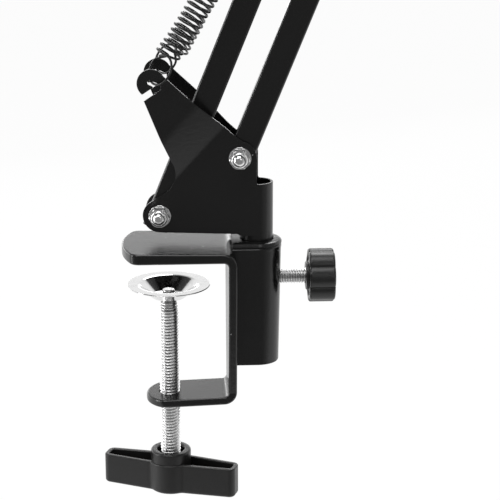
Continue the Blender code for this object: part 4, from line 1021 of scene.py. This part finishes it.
def lock_nut(node, place, start, body):
    """A lock nut towards the near side: a chamfered hexagon, a domed collar and its bore."""
    body_end, collar = NUT_HEIGHT * NUT_BODY, NUT_FLATS / 2 * NUT_COLLAR
    chamfer = chamfered(NUT_FLATS, NUT_CONE, NUT_CHAMFER, 4)
    rows = [(BOLT_HOLE, 0.0), (NUT_FLATS / 2 * NUT_CONE * 0.99, 0.0)]
    rows += [(r, d + 0.02 * MM) for r, d in chamfer] + [(r, body_end - d) for r, d in reversed(chamfer)]
    rows.append((collar, body_end + 0.02 * MM))
    t = np.linspace(0, 1, 7) * TURN / 4
    rows += list(zip(collar - NUT_DOME * (1 - np.cos(t)), NUT_HEIGHT - NUT_DOME * (1 - np.sin(t))))
    rows += [(BOLT_HOLE + 0.1 * MM, NUT_HEIGHT), (BOLT_HOLE, NUT_HEIGHT - 0.2 * MM)]
    points = set_on(turned(HEX_ANGLES, rows), place - ACROSS_PLANE * start, -ACROSS_PLANE, UP)
    dress(grid(node + "_dressed", points, ring=True, caps=False), ZINC, body, node)


def flat_washer(node, place, outer, hole, body):
    """A punched washer on a plate's near face: a softened rectangle turned round the bolt."""
    start = PLATE_FACE + GAP
    end = start + WASHER_THICK
    profile = [(hole, start), (outer, start), (outer, end), (hole, end)]
    washer = lathe(node + "_dressed", profile, place, -ACROSS_PLANE, UP, 56, WASHER_EDGE, ring=True)
    dress(washer, ZINC, body, node)


def pivot_set(prefix, place, body):
    """One pivot's bolt from the far side, and its washer and lock nut on the near side."""
    seat = PLATE_FACE + 2 * GAP + WASHER_THICK
    tip = -seat - NUT_HEIGHT - BOLT_PROUD
    hex_bolt(prefix + "_bolt", place, BOLT_RADIUS, NUT_FLATS, HEAD_HEIGHT, tip, body)
    flat_washer(prefix + "_washer", place, WASHER_RADIUS, BOLT_HOLE, body)
    lock_nut(prefix + "_nut", place, seat, body)


# Sheets

SHEET = 0.9 * MM
SHEET_RIM = 0.14 * MM
RIM_BORDER = 0.12 * MM
RIM_STEP = 0.55 * MM
CORNER_SOFT = 0.8 * MM
MESH_STEP = 3 * MM
QUARTER = MAST_RADIUS * TURN / 4
MAST_RIM = 28.0 * MM
MAST_SEAM = 0.5 * MM
PLATE_FOOT = 8.4 * MM
PLATE_BOSS = 6.3 * MM
EAR_RADIUS = 5.4 * MM
EAR_RISE = 6.3 * MM
FOLD_TURN = math.radians(47.5)
FOLDS = (42.4 * MM, 57.4 * MM)
ELBOW_FOLDS = (8.5 * MM, 22.5 * MM)
FOLD_SOFT = (0.45 * MM, 1.3 * MM)
FOLD_ROWS = np.array([0.0, 0.3, 0.7, 1.2, 1.9, 2.8]) * MM
FOLD_RUN = 1.6 * MM
POCKET = ((-0.8 * MM, -0.7 * MM), (2.6 * MM, -0.1 * MM))
POCKET_HALF = 0.9 * MM
SLOT_START = (2.75 * MM, -0.8 * MM)
SLOT_HALF = 1.15 * MM
SLOT_LENGTH = 12.0 * MM
SLOT_TURN = 23.5
TANG = 0.8 * MM
BITE_CENTRE = (-40.3 * MM, 32.3 * MM)
BITE_RADIUS = 9.7 * MM
NECK_POINT = (-41.6 * MM, 61.0 * MM)
SHOULDER = np.array([-2.2, 8.5]) * MM
BOSS_PROUD = 0.2 * MM
EAR_SET = 0.5 * MM
ELBOW_TOP_POINT = np.array([-1.0, 10.0]) * MM
ELBOW_EAR_FOOT = np.array([0.5, -14.0]) * MM
ELBOW_LOW_RISE = 14 * MM


def evened(outline, step):
    """A closed outline with points added so that none is further than a step from the next."""
    on = np.roll(outline, -1, 0)
    parts = np.maximum(np.ceil(np.linalg.norm(on - outline, axis=1) / step), 1).astype(int)
    start = np.repeat(np.arange(len(outline)), parts)
    first = np.repeat(np.cumsum(parts) - parts, parts)
    share = ((np.arange(len(start)) - first) / parts[start])[:, None]
    return outline[start] * (1 - share) + on[start] * share


def notched(outline, path):
    """A closed outline less what an open path, whose ends lie outside it, takes out of it. Two lines
    p + t d and r + s e cross where t = (r - p) x e / d x e and s = (r - p) x d / d x e."""
    p, d = path[:-1, None], np.diff(path, axis=0)[:, None]
    r, e = outline[None], (np.roll(outline, -1, 0) - outline)[None]
    gap = r - p

    def cross(u, v):
        """The cross product of plane vectors."""
        return u[..., 0] * v[..., 1] - u[..., 1] * v[..., 0]

    both = cross(d, e)
    both = np.where(np.abs(both) < PARALLEL, PARALLEL, both)
    t, s = cross(gap, e) / both, cross(gap, d) / both
    i, j = np.nonzero((t >= 0) & (t < 1) & (s >= 0) & (s < 1))
    ends = p[i, 0] + d[i, 0] * t[i, j][:, None]
    inner = np.vstack([ends[:1], path[i[0] + 1:i[-1] + 1], ends[-1:]])
    kept = (j[0] - j[-1]) % len(outline)
    if kept < len(outline) / 2:
        inner = inner[::-1]
        j = j[::-1]
        kept = len(outline) - kept
    return np.vstack([inner, np.roll(outline, -(j[-1] + 1), 0)[:kept]])


def with_hook_slot(outline, hook, along, across):
    """An ear's outline less its slot, then less its pocket: each is a stadium with its open end first."""
    basis = np.stack([across, along])
    lean = -90 - SLOT_TURN
    way = np.array([math.cos(math.radians(lean)), math.sin(math.radians(lean))])
    out = way * SLOT_LENGTH
    bend = round_off(SLOT_START, SLOT_HALF, lean - 90, lean - 270, 16)
    slot = np.vstack([[bend[0] + out], bend, [bend[-1] + out]])
    start, end = np.array(POCKET)
    tilt = math.degrees(math.atan2(*(end - start)[::-1]))
    left = round_off(start, POCKET_HALF, tilt - 90, tilt - 270, 14)
    right = round_off(end, POCKET_HALF, tilt + 90, tilt - 90, 14)
    pocket = np.vstack([right[-1:], left, right])
    return notched(notched(outline, hook + slot @ basis), hook + pocket @ basis)


def within(points, loop):
    """Which points a closed loop holds: an odd count of its sides lies to their right."""
    x, y = points[:, 0, None], points[:, 1, None]
    x0, y0 = loop.T[:, None]
    x1, y1 = np.roll(loop, -1, 0).T[:, None]
    rise = np.where(np.abs(y1 - y0) < TINY, TINY, y1 - y0)
    hit = ((y0 > y) != (y1 > y)) & (x < x0 + (y - y0) * (x1 - x0) / rise)
    return hit.sum(1) % 2 == 1


def face_triangles(borders, inner):
    """A face's points and triangles, worked out between its borders and those inner points that lie on
    it clear of its rims."""
    near = np.concatenate(borders)

    def inside(p):
        """Which points lie on the sheet: within its outline and in none of its holes."""
        return within(p, borders[0]) & ~np.any([within(p, hole) for hole in borders[1:]], axis=0)

    clear = np.linalg.norm(inner[:, None] - near[None], axis=2).min(1) > RIM_STEP
    spread = np.vstack([near, inner[clear & inside(inner)]])
    sizes = [len(b) for b in borders]
    first = np.repeat(np.cumsum(sizes) - sizes, sizes)
    step = np.arange(len(near)) - first
    edges = np.stack([first + step, first + (step + 1) % np.repeat(sizes, sizes)], -1)
    corners = [Vector(p) for p in spread.tolist()]
    verts, _, tris, *_ = delaunay_2d_cdt(corners, edges.tolist(), [], 0, CLOSE)
    verts, tris = np.array([v[:] for v in verts]), np.array(tris)
    return verts, tris[inside(verts[tris].mean(1))]


def sheet(name, outline, holes, inner, place):
    """A sheet with rolled rims. Loops moved in by r (1 - sin a) at a depth of r (1 - cos a) make each
    rim; both faces are triangles between the loops' last insets and the inner points; place(points,
    depth) sets them in space."""
    loops = [evened(softened(outline, CORNER_SOFT, 4, True), RIM_STEP)] + list(holes)
    a = np.linspace(0, 1, 6) * TURN / 4
    moved = np.concatenate([[SHEET_RIM + RIM_BORDER], SHEET_RIM * (1 - np.sin(a))])
    depth = np.concatenate([[0.0], SHEET_RIM * (1 - np.cos(a))])
    moved, depth = np.concatenate([moved, moved[::-1]]), np.concatenate([depth, SHEET - depth[::-1]])
    points, faces, borders, count = [], [], [], 0
    for loop in loops:
        rings = np.array([inset(loop, -m) for m in moved])
        borders.append(rings[0])
        points.append(np.concatenate([place(ring, d) for ring, d in zip(rings, depth)]))
        i, j = np.meshgrid(np.arange(len(moved) - 1), np.arange(len(loop)), indexing="ij")
        k = (j + 1) % len(loop)
        quads = np.stack([i, i, i + 1, i + 1], -1) * len(loop) + np.stack([j, k, k, j], -1) + count
        faces += quads.reshape(-1, 4).tolist()
        count += len(points[-1])
    verts, tris = face_triangles(borders, inner)
    for d in (0.0, SHEET):
        points.append(place(verts, d))
        faces += (tris + count).tolist()
        count += len(verts)
    return mesh_piece(name, np.concatenate(points), faces, 50)


def joggle(distance, folds):
    """How far an ear is set out: 0 before the first fold and EAR_RISE past the last, straight between.
    A fold is (x + sqrt(x^2 + soft^2)) / 2."""
    past = [distance - fold for fold in folds]
    first, last = [(x + np.sqrt(x ** 2 + soft ** 2)) / 2 for x, soft in zip(past, FOLD_SOFT)]
    return EAR_RISE * (first - last) / (folds[1] - folds[0])


def lattice(low, high, x_step, y_step):
    """Points of a rectangle's grid."""
    x, y = np.arange(low[0], high[0], x_step), np.arange(low[1], high[1], y_step)
    return np.column_stack([np.repeat(x, len(y)), np.tile(y, len(x))])


def fold_lattice(normal, folds, offset, reach):
    """Points in rows along the fold lines: rows lie close together at a fold, apart elsewhere."""
    rows = np.concatenate([f + np.concatenate([-FOLD_ROWS[::-1], FOLD_ROWS[1:]]) for f in folds])
    wide = np.arange(folds[0] - 60 * MM, folds[1] + 40 * MM, MESH_STEP)
    apart = np.abs(wide[:, None] - np.array(folds)[None]).min(1) > MESH_STEP + 0.5 * MM
    rows = np.unique(np.concatenate([rows, wide[apart]])) + offset
    run = np.arange(-reach, reach, FOLD_RUN)
    along = np.array([-normal[1], normal[0]])
    return (rows[:, None, None] * normal + run[None, :, None] * along).reshape(-1, 2)


def disc_hull(centres, radii, count=144):
    """The convex outline round discs: in each direction n, the point c + r n that lies furthest out."""
    a = np.arange(count) * TURN / count
    n = np.stack([np.cos(a), np.sin(a)], -1)
    best = (n @ centres.T + radii).argmax(1)
    return centres[best] + radii[best][:, None] * n


def flat(point, origin):
    """A point of the arm's plane as (across, up) from an origin."""
    return np.array([(point - origin) @ IN_PLANE, (point - origin) @ UP])


def pull_frame(hook, pin, mirrored):
    """Unit directions (across, up) along a spring's pull and across it."""
    along = flat(pin, hook) / np.linalg.norm(flat(pin, hook))
    across = np.array([along[1], -along[0]])
    return along, -across if mirrored else across


def bolt_hole(centre, radius=BOLT_HOLE):
    """A hole's outline, run the other way round than a sheet's."""
    return round_off(centre, radius, 0, -352.5, 48)


def mast_bracket(pin):
    """The sheet that is rolled round the mast's front and runs back as two plates with set-out ears.
    Its developed width w is 0 at the front: |w| <= quarter is the roll, and beyond it x = quarter - |w|."""
    rear, front = flat(REAR, MAST), flat(FRONT, MAST)
    hook = flat(spot["lower_spring_swing"], MAST)
    side = np.vstack([
        [(0, 0), (0, PLATE_FOOT - TANG), (-MAST_RADIUS, PLATE_FOOT - TANG)],
        [(-MAST_RADIUS - 0.6 * MM, PLATE_FOOT)],
        round_off(rear - BOSS_PROUD, PLATE_BOSS + BOSS_PROUD, 268, 128, 32),
        round_off(BITE_CENTRE, BITE_RADIUS, -62, 32, 26),
        [NECK_POINT], round_off(hook - EAR_SET, EAR_RADIUS, 232, 30, 40),
        [front + SHOULDER], round_off(front, PLATE_BOSS, 78, 0, 18),
        [(front[0] + PLATE_BOSS, MAST_RIM)]])
    right = np.column_stack([QUARTER - side[:, 0], side[:, 1]])
    outline = np.vstack([right, right[::-1] * [-1, 1]])
    along, across = pull_frame(spot["lower_spring_swing"], pin, False)
    holes = []
    for sign in (1, -1):
        turn = np.array([-sign, 1])
        over = np.array([sign * QUARTER, 0])
        outline = with_hook_slot(outline, over + hook * turn, along * turn, across * turn)
        holes += [bolt_hole(over + p * turn) for p in (rear, front)]
    normal = np.array([-math.sin(FOLD_TURN), math.cos(FOLD_TURN)])

    def place(points, depth):
        """Round the mast's front by w / radius, then straight back, with the ears' joggle."""
        w, z = points.T
        angle = np.clip(w, -QUARTER, QUARTER) / MAST_RADIUS
        back = np.maximum(np.abs(w) - QUARTER, 0)
        rise = joggle(back * math.sin(FOLD_TURN) + z * math.cos(FOLD_TURN), FOLDS)
        x = (MAST_RADIUS - depth) * np.cos(angle) - back
        y = (MAST_RADIUS - depth) * np.sin(angle) + np.sign(w) * rise
        return MAST + x[:, None] * IN_PLANE + y[:, None] * ACROSS_PLANE + z[:, None] * UP

    plate = fold_lattice(normal, FOLDS, 0.0, 90 * MM)
    plate = plate[plate[:, 0] < -0.6 * MM]
    roll = lattice((-QUARTER, TANG), (QUARTER + 0.1 * MM, MAST_RIM), QUARTER / 16, MESH_STEP)
    near = np.column_stack([QUARTER - plate[:, 0], plate[:, 1]])
    return sheet("mast_bracket_dressed", outline, holes, np.vstack([near, near * [-1, 1], roll]), place)


def mast_tube():
    """The mast below the plates: a rounded section carried round from one side of the seam to the other."""
    radius = MAST_RADIUS - 0.02 * MM
    section = softened([(radius - SHEET, MAST_FOOT), (radius, MAST_FOOT), (radius, PLATE_FOOT),
                        (radius - SHEET, PLATE_FOOT)], 0.25 * MM, 5, True)
    seam = MAST_SEAM / 2 / MAST_RADIUS
    a = np.linspace(seam - TURN / 2, TURN / 2 - seam, 97)[:, None]
    return grid("mast_tube", MAST + around(a, *section.T) @ np.stack([IN_PLANE, ACROSS_PLANE, UP]))


def side_plate(name, origin, outline, holes, sign, normal=None, base=0.0):
    """One flat plate of a pair, with a joggle measured along a normal where it has an ear."""
    def place(points, depth):
        """The plate's plane, its ear set out by the joggle."""
        rise = joggle(points @ normal - base, ELBOW_FOLDS) if normal is not None else 0.0
        y = sign * (MAST_RADIUS - depth + rise) + 0 * points[:, 0]
        return origin + points[:, :1] * IN_PLANE + points[:, 1:] * UP + y[:, None] * ACROSS_PLANE

    low, high = outline.min(0), outline.max(0)
    inner = lattice(low, high, MESH_STEP, MESH_STEP)
    if normal is not None:
        inner = fold_lattice(normal, ELBOW_FOLDS, base, 120 * MM)
    return sheet(name, outline, holes, inner, place)


def elbow_outline():
    """The elbow plate: pivot bosses, the ear, and the straight edges between them."""
    front, low, top = (flat(p, ELBOW_REAR) for p in (ELBOW_FRONT, ELBOW_LOW, ELBOW_TOP))
    hook = flat(spot["upper_spring_swing"], ELBOW_REAR)
    return np.vstack([
        round_off((0, 0), PLATE_BOSS, 150, 307, 36), round_off(front, PLATE_BOSS, -53, 10, 16),
        round_off(top, PLATE_BOSS, 3, 45, 12), [top + ELBOW_TOP_POINT],
        round_off(hook, EAR_RADIUS, 40, 215, 40), [hook + ELBOW_EAR_FOOT],
        [(low[0] - PLATE_BOSS, low[1] + ELBOW_LOW_RISE)], round_off(low, PLATE_BOSS, 180, 215, 10)])


def plates(lower_pin, upper_pin):
    """The sheet pieces: the mast bracket, the elbow's plates and the head's plates."""
    dress(mast_bracket(lower_pin), SHEET_PAINT, "mast", "mast_bracket")
    dress(mast_tube(), SHEET_PAINT, "mast")
    hook, top = (flat(p, ELBOW_REAR) for p in (spot["upper_spring_swing"], ELBOW_TOP))
    along, across = pull_frame(spot["upper_spring_swing"], upper_pin, True)
    outline = with_hook_slot(elbow_outline(), hook, along, across)
    holes = [bolt_hole(flat(p, ELBOW_REAR)) for p in (ELBOW_REAR, ELBOW_FRONT, ELBOW_LOW, ELBOW_TOP)]
    normal = (hook - top) / np.linalg.norm(hook - top)
    centres = np.array([flat(p, HEAD_TOP) for p in (HEAD_LOW, HEAD_TOP, TILT)])
    head_outline = disc_hull(centres, np.array([PLATE_BOSS, PLATE_BOSS, TILT_BOSS]))
    head_holes = [bolt_hole(c) for c in centres[:2]] + [bolt_hole(centres[2], TILT_HOLE)]
    for side, sign in (("near", -1), ("far", 1)):
        elbow, head = f"elbow_plate_{side}", f"head_plate_{side}"
        plate = side_plate(elbow + "_dressed", ELBOW_REAR, outline, holes, sign, normal, top @ normal)
        dress(plate, SHEET_PAINT, "elbow", elbow)
        plate = side_plate(head + "_dressed", HEAD_TOP, head_outline, head_holes, sign)
        dress(plate, SHEET_PAINT, "head", head)


# The arms put together

def arms(lower_pin, upper_pin):
    """The four tubes with their cross pins, the springs, and the fasteners of the eight pivots."""
    square_tube("lower_rear_tube", REAR, ELBOW_REAR, "lower_arm", (REAR, ELBOW_REAR, lower_pin))
    square_tube("lower_front_tube", FRONT, ELBOW_FRONT, "lower_link", (FRONT, ELBOW_FRONT))
    square_tube("upper_top_tube", ELBOW_TOP, HEAD_TOP, "upper_arm", (ELBOW_TOP, HEAD_TOP, upper_pin))
    square_tube("upper_low_tube", ELBOW_LOW, HEAD_LOW, "upper_link", (ELBOW_LOW, HEAD_LOW))
    grooved_pin("lower_spring_pin", lower_pin, "lower_arm")
    grooved_pin("upper_spring_pin", upper_pin, "upper_arm")
    for prefix, pin, turned_over in (("lower", lower_pin, False), ("upper", upper_pin, True)):
        for side in (-1, 1):
            tension_spring(prefix, spot[prefix + "_spring_swing"], pin, turned_over, side)
    for prefix, place, body in (("base_rear", REAR, "mast"), ("base_front", FRONT, "mast"),
                                ("elbow_rear", ELBOW_REAR, "elbow"), ("elbow_front", ELBOW_FRONT, "elbow"),
                                ("elbow_low", ELBOW_LOW, "elbow"), ("elbow_top", ELBOW_TOP, "elbow"),
                                ("head_low", HEAD_LOW, "head"), ("head_top", HEAD_TOP, "head")):
        pivot_set(prefix, place, body)


# Head

STUD_RADIUS = 7.94 * MM
STUD_PITCH = 25.4 / 27 * MM
STUD_GROOVE = 0.5 * MM
STUD_FOOT = 21.7 * MM
STUD_BORE = 2.6 * MM
SPIGOT_RADIUS = 3.0 * MM
CAST_EDGE = 0.3 * MM
TILT_BOSS = 7.0 * MM
TILT_HOLE = 2.8 * MM
TILT_BOLT_RADIUS = 2.5 * MM
TILT_BOLT_FLATS = 8.0 * MM
TILT_BOLT_HEAD = 3.5 * MM
TILT_BOLT_REACH = 8.75 * MM
TILT_WASHER_RADIUS = 5.5 * MM


def head_fittings():
    """The tilting block, its bolt, washer and wing nut, and the threaded stud."""
    dress(refined("tilt_block"), PAINT, "tilt")
    tip = -PLATE_FACE - 2 * GAP - WASHER_THICK - TILT_BOLT_REACH
    hex_bolt("tilt_bolt", TILT, TILT_BOLT_RADIUS, TILT_BOLT_FLATS, TILT_BOLT_HEAD, tip, "head")
    flat_washer("tilt_washer", TILT, TILT_WASHER_RADIUS, TILT_HOLE, "tilt_washer")
    dress(refined("tilt_wing_nut"), PAINT, "wing_nut")
    low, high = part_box("mic_stud")
    spigot, foot, top = low.z - TILT[2], STUD_FOOT, high.z - TILT[2]
    stations = [(spigot, 0.02 * MM), (spigot + STEP, SPIGOT_RADIUS), (foot - STEP, SPIGOT_RADIUS),
                (foot, STUD_RADIUS - 0.9 * MM), (foot + 0.9 * MM, STUD_RADIUS),
                (top - 1.0 * MM, STUD_RADIUS), (top - 0.1 * MM, STUD_RADIUS - 0.8 * MM), (top, 0.05 * MM)]
    zone = (foot + 0.2 * MM, top - 0.3 * MM)
    stud = threaded("mic_stud_dressed", stations, STUD_PITCH, STUD_GROOVE, zone, TILT, UP, IN_PLANE, 64)
    drilled(stud, STUD_BORE, foot + 1 * MM, top + 2 * MM, TILT, UP, IN_PLANE, 40)
    dress(stud, ZINC, "tilt", "mic_stud")


# Studio

ROOM_LEVEL = 0.25
WALL_LEVEL = 0.2
BACKDROP_LEVEL = 0.8
CEILING_LEVEL = 0.2
BACKDROP_EDGE = (-0.12, 0.22)
WALL_EDGE = (0.45, 0.75)
CEILING_EDGE = (0.50, 0.85)
FLOOR_DROP = 0.25
FLOOR_NEAR = -0.30
FLOOR_REACH = 4.0
FLOOR_GLOW = 0.95

# Name, azimuth, elevation, distance, width, height and watts. Azimuth 0 is the camera's side.
LIGHTS = (("overhead", -20, 78, 1.1, 0.7, 0.7, 7.0),
          ("key", -38, 50, 1.1, 0.5, 0.5, 2.5),
          ("left_strip", -85, 10, 0.9, 0.14, 0.9, 4.0),
          ("front_strip", 14, 24, 1.1, 0.12, 0.6, 0.6),
          ("back_rim", 165, 50, 1.1, 0.5, 0.5, 5.0),
          ("back_strip", 205, 4, 1.2, 2.4, 0.2, 4.0))


def light_path(shade, *kinds):
    """1 where a ray is one of some kinds."""
    node = shade.add("LightPath").socket.node
    total = Value(shade.tree, node.outputs[kinds[0]])
    for kind in kinds[1:]:
        total = total + Value(shade.tree, node.outputs[kind])
    return total.math("MINIMUM", 1.0)


def studio_world():
    """White to the camera and through it. To gloss and lamps: a bright backdrop behind, a dim wall on
    the right and a dark room in front, so that paint and metal have something dark to show too."""
    world = bpy.data.worlds.new("studio")
    world.use_nodes = True
    bpy.context.scene.world = world
    shade = Shader(world.node_tree)
    where = shade.add("SeparateXYZ", {}, {0: shade.add("TexCoord", output=0)})
    right, depth, height = (Value(shade.tree, socket) for socket in where.socket.node.outputs)
    wall = shade.ramp(right, *WALL_EDGE) * WALL_LEVEL
    behind = shade.ramp(depth, *BACKDROP_EDGE) * (BACKDROP_LEVEL - wall)
    overhead = shade.ramp(height, *CEILING_EDGE)
    level = (ROOM_LEVEL + wall + behind) * (1 - overhead) + overhead * CEILING_LEVEL
    seen = light_path(shade, "Is Camera Ray", "Is Transmission Ray")
    background = world.node_tree.nodes["Background"]
    background.inputs["Color"].default_value = grey(1.0)
    feed(shade.tree, background.inputs["Strength"], seen + (1 - seen) * level)


def studio_floor():
    """A pale floor below the desk's height, from just in front of the clamp to far behind it: white to
    the eye and in gloss but for a share of its own shading."""
    near, far, side, z = FLOOR_NEAR, FLOOR_REACH, FLOOR_REACH, -FLOOR_DROP
    corners = [(-side, near, z), (side, near, z), (side, far, z), (-side, far, z)]
    mesh = bpy.data.meshes.new("floor")
    mesh.from_pydata(corners, [], [(0, 1, 2, 3)])
    floor = bpy.data.objects.new("floor", mesh)
    bpy.context.scene.collection.objects.link(floor)
    made = Finish("floor_white", {"Roughness": 0.9, "Base Color": grey(0.90)})
    glow = made.add("Emission", {}, {"Strength": 1.0})
    seen = light_path(made, "Is Camera Ray", "Is Glossy Ray", "Is Transmission Ray")
    own = Value(made.tree, made.shader.outputs[0])
    mixed = made.add("MixShader", {}, {0: seen * FLOOR_GLOW, 1: own, 2: glow})
    made.tree.links.new(mixed.socket, made.tree.nodes["Material Output"].inputs[0])
    mesh.materials.append(made.material)
    floor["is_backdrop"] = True


def towards(azimuth, elevation):
    """The direction from the clamp at an azimuth, positive to the right, and an elevation in radians."""
    flat_share = math.cos(elevation)
    return np.array([math.sin(azimuth) * flat_share, -math.cos(azimuth) * flat_share, math.sin(elevation)])


def soft_light(name, azimuth, elevation, distance, width, height, power):
    """A rectangular light, aimed at the clamp."""
    place = Vector(towards(math.radians(azimuth), math.radians(elevation)) * distance)
    lamp = bpy.data.lights.new(name, "AREA")
    lamp.shape = "RECTANGLE"
    lamp.size = width
    lamp.size_y = height
    lamp.energy = power
    made = bpy.data.objects.new(name, lamp)
    bpy.context.scene.collection.objects.link(made)
    made.location = Vector(VIEW_TARGET) + place
    made.rotation_euler = place.to_track_quat("Z", "Y").to_euler()


def camera():
    """The photograph's camera: a long lens, a little above and to the left of square on."""
    back = towards(VIEW_AZIMUTH, VIEW_ELEVATION)
    right = np.array([math.cos(VIEW_AZIMUTH), math.sin(VIEW_AZIMUTH), 0.0])
    lens = bpy.data.cameras.new("photo_camera")
    lens.lens = VIEW_FOCAL
    lens.sensor_width = 36.0
    made = bpy.data.objects.new("photo_camera", lens)
    bpy.context.scene.collection.objects.link(made)
    place = Matrix(np.column_stack([right, np.cross(back, right), back]).tolist()).to_4x4()
    place.translation = Vector(VIEW_TARGET + back * VIEW_DISTANCE)
    made.matrix_world = place
    bpy.context.scene.camera = made


camera()
bpy.context.scene.view_settings.view_transform = "Standard"
studio_world()
studio_floor()
for light in LIGHTS:
    soft_light(*light)
clamp()
spring_pins = ((REAR + ELBOW_REAR) / 2, (ELBOW_TOP + HEAD_TOP) / 2)
plates(*spring_pins)
arms(*spring_pins)
head_fittings()

boxes = {"cad": cad_box, "visual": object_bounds()}
{k: [[float(c) for c in corner] for corner in v] for k, v in boxes.items()}
